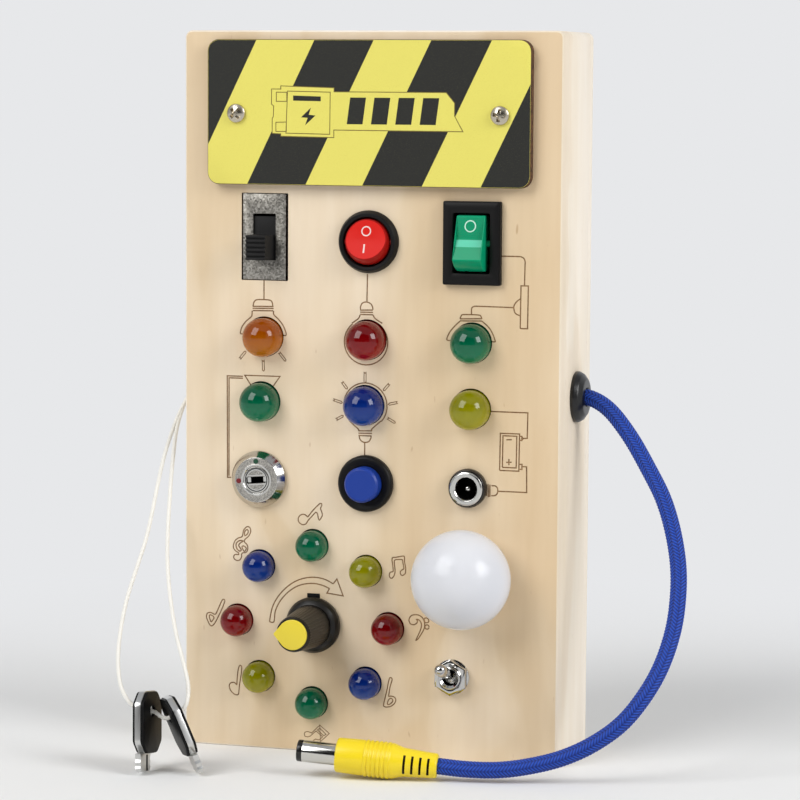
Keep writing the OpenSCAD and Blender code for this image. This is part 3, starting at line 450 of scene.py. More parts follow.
def textured(tree, shader, width, depth, detail=1, strength=0.5, stretch=(1, 1, 1)):
    """Fine relief all over a finish; its width and depth are in millimetres."""
    surface = add(tree, "ShaderNodeTexCoord").outputs["Object"]
    place = add(tree, "ShaderNodeMapping", {"Vector": surface, "Scale": stretch})
    grain = {"Vector": place, "Scale": per_metre(width), "Detail": detail}
    height = add(tree, "ShaderNodeTexNoise", grain)
    bump = add(tree, "ShaderNodeBump", {"Height": height, "Distance": depth * MM, "Strength": strength})
    fill(tree, shader, {"Normal": bump})


def mottled(name, roughness, width, stops, detail=1, **inputs):
    """A finish whose colour wanders between its stops in specks of a width in millimetres."""
    material, tree, shader = finish(name, stops[0][1], roughness, **inputs)
    surface = add(tree, "ShaderNodeTexCoord").outputs["Object"]
    specks = {"Vector": surface, "Scale": per_metre(width), "Detail": detail}
    colour = add(tree, "ShaderNodeValToRGB", {"Fac": add(tree, "ShaderNodeTexNoise", specks)}, stops)
    fill(tree, shader, {"Base Color": colour})
    return material, tree, shader


# %% [markdown]
# ## Basswood plywood
# The box is laser-cut basswood ply: pale, even, with long faint growth figure, fine upright pores
# and a few dark flecks. The grain runs up the board, so every pattern is stretched along Z.


# %% Wood
def wood(name, tones):
    """Rotary-cut veneer: wide soft islands of growth figure, each with one sharper shore, under faint
    upright fibres and a few dark pores."""
    material, tree, shader = finish(name, tones[1], 0.6, Specular_IOR_Level=0.2)
    surface = add(tree, "ShaderNodeTexCoord").outputs["Object"]
    layers = []
    for width, stretch, detail, roughness, warp in (
        (77, (1.6, 1.6, 0.62), 3, 0.45, 0.8),
        (16.67, (3, 3, 0.3), 3, 0.6, 0),
        (3.333, (2.2, 2.2, 0.7), 1, 0.4, 0),
    ):
        place = add(tree, "ShaderNodeMapping", {"Vector": surface, "Scale": stretch})
        layers.append(add(tree, "ShaderNodeTexNoise", {
            "Vector": place, "Scale": per_metre(width), "Detail": detail, "Roughness": roughness,
            "Distortion": warp}))
    figure, fibre, pore = layers
    stops = tuple(zip((0.36, 0.47, 0.495, 0.62), tones))
    colour = add(tree, "ShaderNodeValToRGB", {"Fac": figure}, stops)
    for strength, layer, stops in (
        (0.3, fibre, ((0.3, "FFFFFF"), (0.75, "E6DBC8"))),
        (0.4, pore, ((0.76, "FFFFFF"), (0.84, "B58E60"))),
    ):
        shade = add(tree, "ShaderNodeValToRGB", {"Fac": layer}, stops)
        mixed = {0: strength, 6: colour, 7: shade}  # factor and the two colours, by socket number
        colour = add(tree, "ShaderNodeMix", mixed, data_type="RGBA", blend_type="MULTIPLY").outputs[2]
    bump = add(tree, "ShaderNodeBump", {"Height": fibre, "Distance": 0.03 * MM, "Strength": 0.3})
    fill(tree, shader, {"Base Color": colour, "Normal": bump})
    return material


# Sanded but unsealed: no shine, pale tan where the veneer's face shows its growth rings.
ply_face = wood("basswood ply face", ("EDDBC1", "E9D5B7", "E4CEAD", "DFC6A2"))
# The same wood in paler tones, with hardly any figure: the walls, the back and the cut edges.
ply_side = wood("basswood ply edge, sanded", ("F3EADD", "F0E6D6", "ECDFCC", "E7D9C3"))
# Burnt through by the laser: a dark brown, sooty wall without any shine.
char = mottled("laser charred cut", 0.8, 1.111, ((0.3, "2E1C10"), (0.7, "6A472A")), 3)[0]
# Scorched only skin deep: a mid brown that changes along the line as the beam does.
scorch_stops = ((0.3, "7A5A3A"), (0.7, "A07C54"))
engraved = mottled("laser engraving, scorched", 0.8, 0.6667, scorch_stops, 2)[0]
print("wood finishes", ply_face.name, "and", ply_side.name)

# %% [markdown]
# ## Plastics
# Moulded plastic is an even colour under a thin clear skin; its roughness tells soft-touch from
# glossy. A mould that was etched or blasted gives a fine grain, which spreads the glint.


# %% Plastics
def plastic(name, colour, roughness, grain=0.0, **inputs):
    """Grain is the depth in millimetres of the texture that the mould leaves. Its width is drawn as
    0.29 mm, coarser than the real one, so that it shows."""
    material, tree, shader = finish(name, colour, roughness, **{"IOR": 1.5, **inputs})
    if grain:
        textured(tree, shader, 0.2857, grain)
    return material


# Moulded in polished steel: small sharp glints on a deep black.
glossy_black = plastic("polished black ABS", "121111", 0.2)
# Moulded in fine-sanded steel: a soft, wide glint that still draws each rim.
satin_black = plastic("satin black ABS", "0F0E0E", 0.42, 0.01, Specular_IOR_Level=0.22)
# Moulded in spark-eroded steel: dull and slightly sparkling.
matte_black = plastic("spark-textured black nylon", "131212", 0.6, 0.03, Specular_IOR_Level=0.3)
# Pressed rubber with a little bloom: a smooth soft shine.
rubber = plastic("black rubber", "0D0D0E", 0.3)
# Phenolic pressed hot: hard, brownish black, with a tight glint along every flute.
phenolic = plastic("black moulded phenolic", "15120E", 0.34, 0.01, Specular_IOR_Level=0.35)
# Clear skin over a red body: strong colour, weak glint.
red_cap = plastic("glossy red polycarbonate", "D21C14", 0.3, Specular_IOR_Level=0.1)
# The cap's walls lie in the collar's shadow and look deeper.
red_side = plastic("red polycarbonate, shaded side", "98140F", 0.3, Specular_IOR_Level=0.12)
# Clear green cap: a sharper glint than the red one's.
green_cap = plastic("glossy green polycarbonate", "0A9468", 0.2, Specular_IOR_Level=0.2)
# The fold of the clear cap gathers light into a pale band.
green_glint = plastic("green polycarbonate, lit fold", "4CC3A0", 0.25, Specular_IOR_Level=0.3)
# Pad-printed ink: flat and matt, faintly tinted by the cap under it.
white_mark = plastic("white pad print", "E6CFCB", 0.5)
pale_mark = plastic("pale green pad print", "B9E4D2", 0.5)
# Moulded satin: an even blue with a soft glint in its dish.
blue_button = plastic("satin blue ABS", "1A3A92", 0.35, Specular_IOR_Level=0.3)
# The same plastic in yellow, moulded flat.
yellow_cap = plastic("satin yellow ABS", "E6D03A", 0.35)
# Soft vinyl moulded round the cord: warm yellow with a greasy shine.
yellow_shell = plastic("yellow PVC plug shell", "F0D51F", 0.3)
# The bottom of the plug's slots: light hardly comes back out.
dark_slot = plastic("shadowed hollow", "1A1508", 0.9)
# Glass fibre dulls the nylon: nearly no glint.
key_black = plastic("black key cover, glass-filled nylon", "0A0A0B", 0.45, 0.02, Specular_IOR_Level=0.16)
# Enamel dropped into a dimple: its own red and green, painted darker for the dimple's shade, and
# a small wet glint.
red_dot = plastic("red enamel dot", "74121A", 0.4)
green_dot = plastic("green enamel dot", "14472E", 0.4)
print("plastics from", glossy_black.name, "to", green_dot.name)

# %% [markdown]
# ## Metals
# Metals have no colour of their own skin, only how they reflect: galvanised sheet shows patches of
# crystal, nickel is a little warm, chrome is almost a mirror.

# %% Metals
# Hot-dip zinc sets in crystals of about half a millimetre, each its own grey, some duller than others.
zinc, tree, shader = finish("galvanised sheet steel", "77736D", 0.42, Metallic=1.0)
surface = add(tree, "ShaderNodeTexCoord").outputs["Object"]
crystal = add(tree, "ShaderNodeTexVoronoi", {"Vector": surface, "Scale": per_metre(0.4545)})
stops = ((0.05, "6A6761"), (0.5, "9C9890"), (0.95, "C6C2B9"))
greys = add(tree, "ShaderNodeValToRGB", {"Fac": crystal.outputs["Color"]}, stops)
haze = add(tree, "ShaderNodeTexNoise", {"Vector": surface, "Scale": per_metre(0.3333), "Detail": 3})
dullness = add(tree, "ShaderNodeMapRange", {"Value": haze, "To Min": 0.32, "To Max": 0.55})
fill(tree, shader, {"Base Color": greys, "Roughness": dullness})


def metal(name, colour, roughness):
    return finish(name, colour, roughness, Metallic=1.0)[0]


# Barrel-plated nickel: warm and softly bright.
nickel = metal("nickel-plated steel", "C9C0AE", 0.26)
# Bright chrome over polished brass: nearly a mirror, so it shows the dark and light of the room.
chrome = metal("polished chrome plate", "C4C3C1", 0.1)
# Blasted before plating: a frosted surface that breaks the light into grains. They are drawn 0.26 mm
# wide, coarser than the real ones, so that they show.
cast_stops = ((0.35, "8F8C86"), (0.65, "D0CCC4"))
die_cast, tree, shader = mottled("bead-blasted nickel-plated casting", 0.4, 0.2632, cast_stops, Metallic=1.0)
textured(tree, shader, 0.2632, 0.04)
# Turned and polished edges: narrow bright lines round the frosted face.
polished = metal("polished nickel rim", "D2D1CC", 0.14)
# The bevel is a darker copy of the rim's nickel: a painted reflection of the darker things round it.
bevel = metal("polished nickel bevel, turned", "C6C4C0", 0.12)
# Sheet steel brushed lengthways: the glint is drawn out along the key. The scratches are 0.4 mm wide
# and ten times as long, coarser than the real ones, so that they show.
key_steel, tree, shader = finish("brushed key steel", "D2D2D0", 0.3, Metallic=1.0)
textured(tree, shader, 0.4, 0.01, detail=2, stretch=(1, 1, 0.1))
print("metals from", zinc.name, "to", key_steel.name)

# %% [markdown]
# ## Printed ink
# Ultraviolet-cured ink lies on the ply in a thin film. The wood's pores stay open under it, so a
# print shows fine specks of a second tone.


# %% Inks
def ink(name, colour, speck, level):
    """Cured ink with pore specks of 0.19 mm; a speck shows where the noise is above the level."""
    stops = ((level, colour), (level + 0.06, speck))
    return mottled(name, 0.5, 0.1923, stops, Specular_IOR_Level=0.25)[0]


# Opaque but thin: the yellow stays a little uneven.
ink_yellow = ink("yellow UV print on wood", "E4DA6A", "D2C556", 0.62)
# Black over yellow: the specks show brown.
ink_black = ink("black UV print on wood", "282825", "4A4838", 0.63)
# Print burnt away by the laser: brown with darker specks.
ink_line = ink("brown laser line on print", "7A6A35", "5B4E27", 0.6)
print("inks", ink_yellow.name, ",", ink_black.name, "and", ink_line.name)

# %% [markdown]
# ## Lamps and the milky globe
# The lamps are tinted epoxy: light goes in at the top, gathers in the dome and leaves low down, so
# an unlit lamp is dark above and glows faintly below. That glow is painted light: the colour turns
# paler where the dome faces down. The globe is opal plastic, which scatters light just under its
# skin and hides whatever is inside.


# %% Clear and milky plastics
def epoxy(name, deep, light):
    """Cast resin, through which part of the light passes. Its colour is painted paler where the surface
    faces down: painted light for the glow that gathers in the dome and leaves low down."""
    material, tree, shader = finish(name, deep, 0.06, IOR=1.53, Transmission_Weight=0.15,
                                    Specular_IOR_Level=0.35)
    # Painted light: the colour runs from the light tone where the surface faces down to the deep one above.
    slope = add(tree, "ShaderNodeSeparateXYZ", {0: add(tree, "ShaderNodeNewGeometry").outputs["Normal"]})
    tone = {"Value": slope.outputs["Z"], "From Min": -0.8, "From Max": 0.3}
    stops = ((0.0, light), (1.0, deep))
    colour = add(tree, "ShaderNodeValToRGB", {"Fac": add(tree, "ShaderNodeMapRange", tone)}, stops)
    fill(tree, shader, {"Base Color": colour})
    return material


# Glass-smooth castings: deep colour and one sharp glint for each light.
epoxies = {
    "orange": epoxy("orange tinted epoxy", "924400", "C47412"),
    "red": epoxy("red tinted epoxy", "6A0206", "9A1214"),
    "green": epoxy("green tinted epoxy", "005538", "108056"),
    "blue": epoxy("blue tinted epoxy", "06226C", "1A469E"),
    "yellow": epoxy("yellow-green tinted epoxy", "828000", "AEA822"),
}
# Blown opal plastic: light spreads 4 mm under a smooth skin, so its shadows are pale and soft.
opal, tree, shader = finish(
    "opal polycarbonate", "DCDDE2", 0.2, IOR=1.5, Specular_IOR_Level=0.32, Subsurface_Weight=0.3,
    Subsurface_Scale=4 * MM, Subsurface_Radius=(1.0, 1.0, 1.0))
print(len(epoxies), "lamp colours and", opal.name)

# %% [markdown]
# ## Threads
# The cord has a braided blue sleeve, the keys hang on white cotton string. Yarn is rough and its
# fibres catch light at the edge, which sheen gives.

# %% Braid and string
# Woven filament. Its "lay" attribute sets the colour: painted light on the crest of each strand,
# and painted shade in the groove beside it.
braid, tree, shader = finish("braided polyester sleeve", "16339A", 0.55, Specular_IOR_Level=0.3,
                             Sheen_Weight=0.05)
crest = add(tree, "ShaderNodeAttribute", attribute_name="lay").outputs["Fac"]
stops = ((0.1, "071D64"), (0.9, "1F4FBE"))
fill(tree, shader, {"Base Color": add(tree, "ShaderNodeValToRGB", {"Fac": crest}, stops)})
# Spun and twisted: no glint, and loose fibres that blur its edge. Its lumps are a quarter millimetre
# wide, coarser than the fibres, so that they show.
cotton, tree, shader = finish("white cotton string", "EDEAE2", 0.85, Sheen_Weight=0.3)
textured(tree, shader, 0.25, 0.08, detail=2, strength=0.6)
print("threads", braid.name, "and", cotton.name)

# %% [markdown]
# ## The blue cord
# The cord leaves the right wall, falls in a wide curve and comes forward over the floor to its
# plug. Its route is a smooth curve. The braid is a herringbone: eight columns of strands that lean
# left and right in turn. Each strand is painted darker in the groove beside its neighbour and paler
# on its crest: painted shade and painted light.

# %% Routes
cord_route = [
    (44.6, 1, 92.8), (50, 1, 92.8), (54.1, 1, 92.5), (59.2, 0.2, 89.6), (64.9, -1.7, 83.4),
    (70.2, -4, 75.8), (74.9, -7, 68.5), (78.2, -10, 60.5), (80.3, -13.2, 52.2), (81, -16.8, 44.3),
    (80.5, -20, 36.9), (78.6, -24, 29.1), (75.2, -27.3, 22.1), (70.3, -29.8, 15.6), (63.6, -31.6, 10.4),
    (56, -33, 6.6), (47.8, -34.6, 4.3), (40.5, -36.5, 3.3), (33, -37.9, 3.26), (26, -39, 3.8),
]
string_route = [
    (-45, 0.4, 92.7), (-50, 0.4, 92.7), (-52.3, -1.8, 91.8), (-53.8, -5.5, 88.5), (-55.3, -9, 83),
    (-56.7, -12.5, 75.5), (-57.3, -16, 68), (-57.6, -19.5, 60.5), (-58.1, -23, 53.5), (-59.1, -27, 46.5),
    (-59.8, -31.5, 39.5), (-59.7, -36, 32), (-58.5, -40.5, 25.5), (-55.9, -45.2, 20.2),
    (-52.6, -48.5, 17.1), (-49.4, -49.9, 15.6), (-46.7, -50.1, 15.2), (-44.6, -50.2, 14.9),
    (-42.7, -50.9, 14), (-41, -50.9, 13.7), (-39.6, -49.8, 14.4), (-38.1, -48.7, 15.2),
    (-37.3, -46.8, 17.4), (-38.2, -43.8, 21.2), (-41, -40, 26.2), (-44.2, -36, 31.3), (-46.9, -32.3, 37),
    (-49.3, -28.6, 43.5), (-51.3, -24.6, 50.5), (-52.7, -20.5, 58), (-53.7, -16.5, 66),
    (-54.4, -12.8, 74), (-54.6, -9, 82.5), (-53.6, -4.5, 89.5), (-52, -0.3, 92), (-50, 1.6, 92.7),
    (-45, 1.6, 92.7),
]
print(len(cord_route), "points in the cord's route,", len(string_route), "in the string's")


# %% Points and loops along a line
def even(points, spacing):
    """Points a fixed distance apart along a line."""
    line, left = [Vector(points[0])], spacing
    for a, b in zip(points, points[1:]):
        length, gone = (b - a).length, 0
        while length - gone >= left:
            gone += left
            line.append(a.lerp(b, gone / length))
            left = spacing
        left -= length - gone
    return line


def length_of(line):
    return sum((b - a).length for a, b in zip(line, line[1:]))


def sleeve(line, radius, sides):
    """Loops about a line that never twist; radius is a function of turn (0-1) and distance in mm."""
    loops, side, far = [], Vector((0, 1, 0)), 0
    for k, p in enumerate(line):
        along = (line[min(k + 1, len(line) - 1)] - line[max(k - 1, 0)]).normalized()
        side = (side - along * side.dot(along)).normalized()
        other = along.cross(side)
        far += (p - line[k - 1]).length if k else 0
        loop = []
        for s in range(sides):
            a = 2 * math.pi * s / sides
            loop.append(p + (side * math.cos(a) + other * math.sin(a)) * radius(s / sides, far))
        loops.append(loop)
    return loops


# %% Braided cord
CORD_RADIUS, CORD_SIDES, CORD_STEP = 2.1, 72, 0.17
ROUTE_STEPS = 12  # points between two of the route's own


def lay(turn, far, columns=8, strand=0.85, lean=1.5):
    """0 in the grooves, 1 on the crest of a strand, which is 0.85 mm wide."""
    slope = abs((columns * turn) % 2 - 1)
    crest = 0.5 + 0.5 * math.cos(2 * math.pi * (far / strand + lean * slope))
    return crest**0.7 * (0.35 + 0.65 * abs(math.sin(math.pi * columns * turn)) ** 0.6)


def braided(turn, far, rise=0.2):
    return CORD_RADIUS - rise + rise * lay(turn, far)


cord_line = even(flowing(cord_route, ROUTE_STEPS), CORD_STEP)
cord = build("cord_sleeve", [loft(sleeve(cord_line, braided, CORD_SIDES))], [braid], angle=80)
# The same lay paints the sleeve: painted shade in the grooves, painted light on the crests.
crests = cord.data.attributes.new("lay", "FLOAT", "POINT")
crests.data.foreach_set("value", [
    lay(k % CORD_SIDES / CORD_SIDES, k // CORD_SIDES * CORD_STEP) for k in range(len(cord.data.vertices))])
print("cord", round(length_of(cord_line), 1), "mm,", len(cord_line), "loops")

# %% [markdown]
# ## The plug
# A moulded plug swells toward the hand, carries grip rings and, nearer the cord, four slots across
# its neck, and ends in a bright barrel with a black insulated tip. One profile is turned about the
# axis, and the loops inside a slot are flattened on two sides, so a slot is part of the same skin.

# %% Plug shell
HEADING, RISE = 189, 4.4  # degrees: which way the plug points on the floor, and its tip's rise
plug_place = (
    Matrix.Translation(cord_route[-1]) @ Matrix.Rotation(math.radians(HEADING), 4, "Z")
    @ Matrix.Rotation(math.radians(90 - RISE), 4, "Y")
)
SLOT_DEPTH, SLOT_WIDTH, SLOT_PITCH, SLOTS = 0.85, 0.6, 2, 4
SLOT_EDGE = 0.02  # the step into a slot, steep but not upright
GRIP_PITCH, GRIPS = 1.1, 6
neck = [(0, 0, 0), (2.75, 0, 0.25), (3.08, 0.4, 0.2), (3.6, 8.7, 3), (4.45, 11.3, 0.8), (4.4, 11.7, 0)]
grip = [(4.36, 0), (4.52, 0.1), (4.6, 0.3), (4.58, 0.65), (4.4, 0.85), (4.34, 0.95)]
shell = rounded(neck, 3)
for k in range(GRIPS):
    shell += [Vector((r, 11.9 + GRIP_PITCH * k + z)) for r, z in grip]
shell += rounded([(4.42, 18.7, 0), (4.46, 19.1, 0), (4.3, 25.1, 0.4), (3.95, 25.4, 0), (0, 25.4, 0)], 3)

stations = []  # (radius, height, inside a slot)
for p, q in zip(shell, shell[1:] + [None]):
    stations.append((p.x, p.y, False))
    for low in [1.8 + SLOT_PITCH * k for k in range(SLOTS)]:
        high = low + SLOT_WIDTH
        for z, inside in ((low, False), (low + SLOT_EDGE, True), (high - SLOT_EDGE, True), (high, False)):
            if q and p.y < z < q.y and p.x > 1:
                stations.append((p.x + (q.x - p.x) * (z - p.y) / (q.y - p.y), z, inside))

loops, tones, sides = [], [], 96
for r, z, inside in stations:
    loop = circle(max(r, AXIS), z, sides)
    if inside:
        loop = [(x, max(SLOT_DEPTH - r, min(r - SLOT_DEPTH, y)), h) for x, y, h in loop]
    loops.append(loop)
for (r, _, one), (_, _, other) in zip(stations, stations[1:]):
    for k in range(sides):
        y = abs(r * math.sin(2 * math.pi * (k + 0.5) / sides))
        tones.append(1 if (one or other) and y > r - SLOT_DEPTH else 0)
vertices, faces, _ = loft(loops, plug_place)
plug = build("plug_shell_moulded", [(vertices, faces, tones + [0, 0])], [yellow_shell, dark_slot], angle=40)
print("plug shell of", len(loops), "loops,", SLOTS, "slots and", GRIPS, "grip rings")

# %% Plug barrel and tip
barrel = rounded([(0, 25.3, 0), (2.7, 25.3, 0), (2.7, 33.95, 0.1), (1.9, 34.0, 0), (0, 34.0, 0)], 2)
barrel_piece = build("plug_barrel_turned", [lathe(barrel, plug_place)], [polished])
tip = rounded([(1.1, 34.0, 0), (2.7, 34.0, 0), (2.7, 35.3, 0.3), (1.1, 35.3, 0.2)], 3)
tip_piece = build("plug_tip_moulded", [lathe(tip, plug_place, ring=True)], [glossy_black])
hang(plug, ["plug_shell"])
hang(barrel_piece, ["plug_barrel"])
hang(tip_piece, ["plug_tip"])
hang(cord, ["blue_cord"])

# %% [markdown]
# ## The string and its keys
# One white string leaves the left wall, passes through both key heads and goes back in. It is
# three plies twisted together, which shows as slow grooves. Each key is a steel core between two
# black covers held flush at the edges.

# %% String
STRING_SIDES, STRING_STEP = 18, 0.25
KNOT_TURNS, KNOT_STEPS = 2.6, 120


def plied(turn, far, plies=3, twist=3.2, out=0.55, groove=0.13):
    """Radius of a string whose plies go once around in the twist, in millimetres."""
    return out - groove + groove * abs(math.cos(math.pi * (plies * turn + plies * far / twist)))


string_line = even(flowing(string_route, ROUTE_STEPS), STRING_STEP)
knot = []  # a coil of 1.1 mm radius just inside the left wall
for k in range(KNOT_STEPS + 1):
    a = 2 * math.pi * KNOT_TURNS * k / KNOT_STEPS
    knot.append(Vector((-44.45 + 2.7 * k / KNOT_STEPS, 1 + 1.1 * math.cos(a), 92.7 + 1.1 * math.sin(a))))
string = build("key_string_cotton", [loft(sleeve(string_line, plied, STRING_SIDES))], [cotton], angle=80)
hang(string, ["key_string"])
knot_piece = build("string_knot", [loft(sleeve(knot, plied, STRING_SIDES))], [cotton], angle=80)
hang(knot_piece, [])
print("string", round(length_of(string_line), 1), "mm")


# %% Keys
KEY_HALF = 0.75  # half the steel core's thickness


def key_place(at, turn, tilt, lean):
    """From (u across the head, v along the key, h through its thickness)."""
    place = Matrix.Translation(at)
    for angle, axis in ((turn, "Z"), (tilt, "Y"), (-lean, "X")):
        place = place @ Matrix.Rotation(math.radians(angle), 4, axis)
    return place @ Matrix(((0, 0, 1, 0), (1, 0, 0, 0), (0, 1, 0, 0), (0, 0, 0, 1)))


def key_head(half, low, high, cut, radius):
    """The eight-sided head with every corner eased."""
    right = [(half - cut, low), (half, low + cut), (half, high - cut), (half - cut, high)]
    left = [(-x, y) for x, y in reversed(right)]
    return [tuple(p) for p in rounded([(x, y, radius) for x, y in right + left], 4)]


shank = turned_left([
    (0.45, 4.6), (-6.25, 4.6), (-6.2, 3.7), (-5.85, 3.1), (-6.2, 2.4), (-5.9, 1.5), (-6.15, 0.9),
    (-5.4, 0), (-0.5, 0), (0.4, 0.9), (0, 1.6), (0.4, 2.5), (-0.05, 3.2), (0.4, 3.9)])
string_eye = [circle(1.5, 0, 32, (0, 15))]
# The milled groove in the shank is painted black as well: painted shade in the channel.
groove = [("groove", bar(-2, 2.2, 1.1, 4.0))]
blades, covers = [], []
for place in (key_place((-45.9, -52.2, 0.25), 0, -3, 8), key_place((-33.9, -48.4, 0.5), 35, -21.5, 8)):
    plate = skirt_of(key_head(6.5, 4.3, 20, 3, 2), KEY_HALF, -KEY_HALF, 0.1, 2)
    blades += inlay(plate, string_eye, (), place)
    blades += inlay(skirt_of(shank, KEY_HALF, -KEY_HALF, 0.1, 2), (), groove, place, {"groove": (1, 0.3)})
    for side, half_turn in ((1, 0), (-1, math.pi)):
        flip = Matrix.Translation((0, 0, side * KEY_HALF)) @ Matrix.Rotation(half_turn, 4, "Y")
        cover = skirt_of(key_head(6.3, 4.5, 19.8, 2.9, 1.9), 0.7, 0.0, 0.3, 4)
        covers += inlay(cover, string_eye, (), place @ flip)
blades = hang(build("key_blades_milled", blades, [key_steel, matte_black]), ["key_blades"])
covers = hang(build("key_covers_moulded", covers, [key_black]), ["key_heads"])

# %% [markdown]
# ## The drawings burnt into the face
# A laser draws the lamps, wires and notes by scorching a line about a third of a millimetre wide
# and a tenth deep. Straight runs are kept straight; bulbs, shades and notes flow through their points.

# %% Straight strokes, as (x, z) on the face
straight = [
    [(-28.5, 121.5), (-28.5, 116.5)], [(-31.6, 114.7), (-25.9, 114.8)], [(-31.6, 114.2), (-25.9, 114.3)],
    [(-31.5, 113.6), (-26.0, 113.7)], [(-0.7, 123.7), (-0.8, 116.5)], [(-2.6, 114.5), (0.8, 114.6)],
    [(-2.6, 114.0), (0.8, 114.0)], [(-2.6, 113.4), (0.8, 113.4)], [(-2.9, 83.7), (0.7, 83.8)],
    [(-2.9, 83.1), (0.7, 83.2)], [(-2.9, 82.5), (0.6, 82.5)], [(-1.2, 80.9), (-1.2, 77.1)],
    [(-32.0, 94.4), (-33.7, 96.9), (-24.1, 96.9), (-25.9, 94.4)],
    [(-34.2, 96.6), (-38.5, 96.6), (-38.4, 70.3), (-37.4, 70.3)],
    [(-34.2, 96.1), (-38.0, 96.1), (-38.0, 70.7)], [(23.8, 113.0), (29.5, 113.2)],
    [(23.8, 112.5), (29.5, 112.6)],
    [(39.5, 111.0), (41.4, 111.0), (41.5, 121.7), (39.6, 121.7), (39.5, 111.0)],
    [(31.7, 89.9), (41.7, 89.9), (41.6, 83.5), (40.6, 83.4), (40.2, 83.8), (40.2, 82.9), (40.6, 83.4)],
    [(34.5, 75.1), (39.5, 75.1), (39.6, 84.5), (34.6, 84.5), (34.5, 75.1)],
    [(35.2, 75.9), (38.8, 75.9), (38.9, 83.9), (35.3, 83.9), (35.2, 75.9)], [(36.2, 82.9), (37.6, 83.0)],
    [(36.9, 78.1), (36.9, 76.5)], [(36.2, 77.2), (37.6, 77.3)],
    [(39.6, 83.9), (40.2, 83.9), (40.2, 82.9), (39.6, 82.9)],
    [(39.5, 76.8), (40.3, 76.9), (40.3, 75.6), (39.5, 75.6)],
    [(40.3, 76.3), (41.5, 76.3), (41.6, 69.8), (34.0, 69.8)], [(31.5, 71.5), (31.6, 68.2)],
    [(32.0, 71.4), (32.0, 68.3)], [(31.1, 71.2), (31.1, 68.5)],
    [(-9.5, 44.0), (-8.5, 45.3), (-6.8, 41.0), (-11.2, 41.5), (-10.5, 42.7)],
    [(34.5, 129.0), (39.4, 129.0)], [(40.6, 127.0), (40.5, 121.7)], [(37.8, 116.2), (27.7, 116.3)],
]
print(len(straight), "straight strokes")

# %% Flowing strokes
curved = [
    [(-31.5, 114.7), (-31.2, 115.8), (-30.5, 116.4), (-28.6, 116.5), (-26.9, 116.4), (-26.3, 115.9),
     (-26.1, 114.8)],
    [(-31.7, 113.6), (-31.8, 112.3), (-32.2, 111.8), (-33.4, 110.8), (-34.5, 109.3), (-34.9, 107.7),
     (-34.1, 107.6)],
    [(-25.9, 113.7), (-25.8, 112.7), (-24.6, 111.6), (-23.3, 110.0), (-22.5, 108.1), (-22.6, 107.5),
     (-23.4, 107.5)],
    [(-2.5, 114.6), (-2.5, 115.4), (-2.0, 116.3), (-0.9, 116.6), (0.2, 116.2), (0.7, 115.4),
     (0.8, 114.7)],
    [(-2.6, 113.3), (-3.1, 112.3), (-4.8, 111.1)], [(0.8, 113.4), (1.5, 112.4), (3.3, 111.3)],
    [(-5.4, 86.2), (-4.1, 85.1), (-2.9, 84.1), (-2.9, 83.7)],
    [(3.2, 86.5), (1.9, 85.4), (0.7, 84.3), (0.7, 83.8)],
    [(-2.7, 82.5), (-2.5, 81.6), (-1.9, 81.0), (-1.1, 80.8), (-0.2, 81.0), (0.4, 81.8), (0.5, 82.5)],
    [(39.4, 129.0), (40.2, 128.6), (40.6, 127.8), (40.6, 127.0)],
    [(39.4, 118.4), (38.5, 117.7), (37.9, 116.8), (37.8, 116.0), (38.2, 114.8), (39.4, 114.2)],
    [(27.7, 116.3), (27.0, 116.0), (26.8, 115.5), (26.8, 114.1)],
    [(23.8, 113.0), (24.2, 113.9), (24.8, 114.1), (26.8, 114.15), (28.6, 114.1), (29.2, 113.9),
     (29.5, 113.2)],
    [(23.8, 112.4), (22.4, 111.1), (21.1, 109.5), (20.4, 107.9), (20.7, 107.5), (21.7, 107.5)],
    [(29.5, 112.6), (31.2, 111.2), (32.3, 109.6), (33.0, 107.8), (32.9, 107.5), (31.9, 107.5)],
    [(32.4, 71.1), (33.4, 71.1), (34.0, 70.5), (34.0, 69.4), (33.4, 68.7), (32.4, 68.6)],
    [(-26.8, 33.2), (-26.1, 36.8), (-24.4, 40.0), (-21.7, 42.8), (-18.7, 44.6), (-15.2, 45.4),
     (-12.0, 45.1), (-9.5, 44.0)],
    [(-26.8, 33.2), (-25.6, 33.3), (-25.2, 36.1), (-23.8, 38.9), (-21.5, 41.4), (-18.7, 43.1),
     (-15.4, 43.8), (-12.6, 43.5), (-10.5, 42.7)],
]
print(len(curved), "flowing strokes")

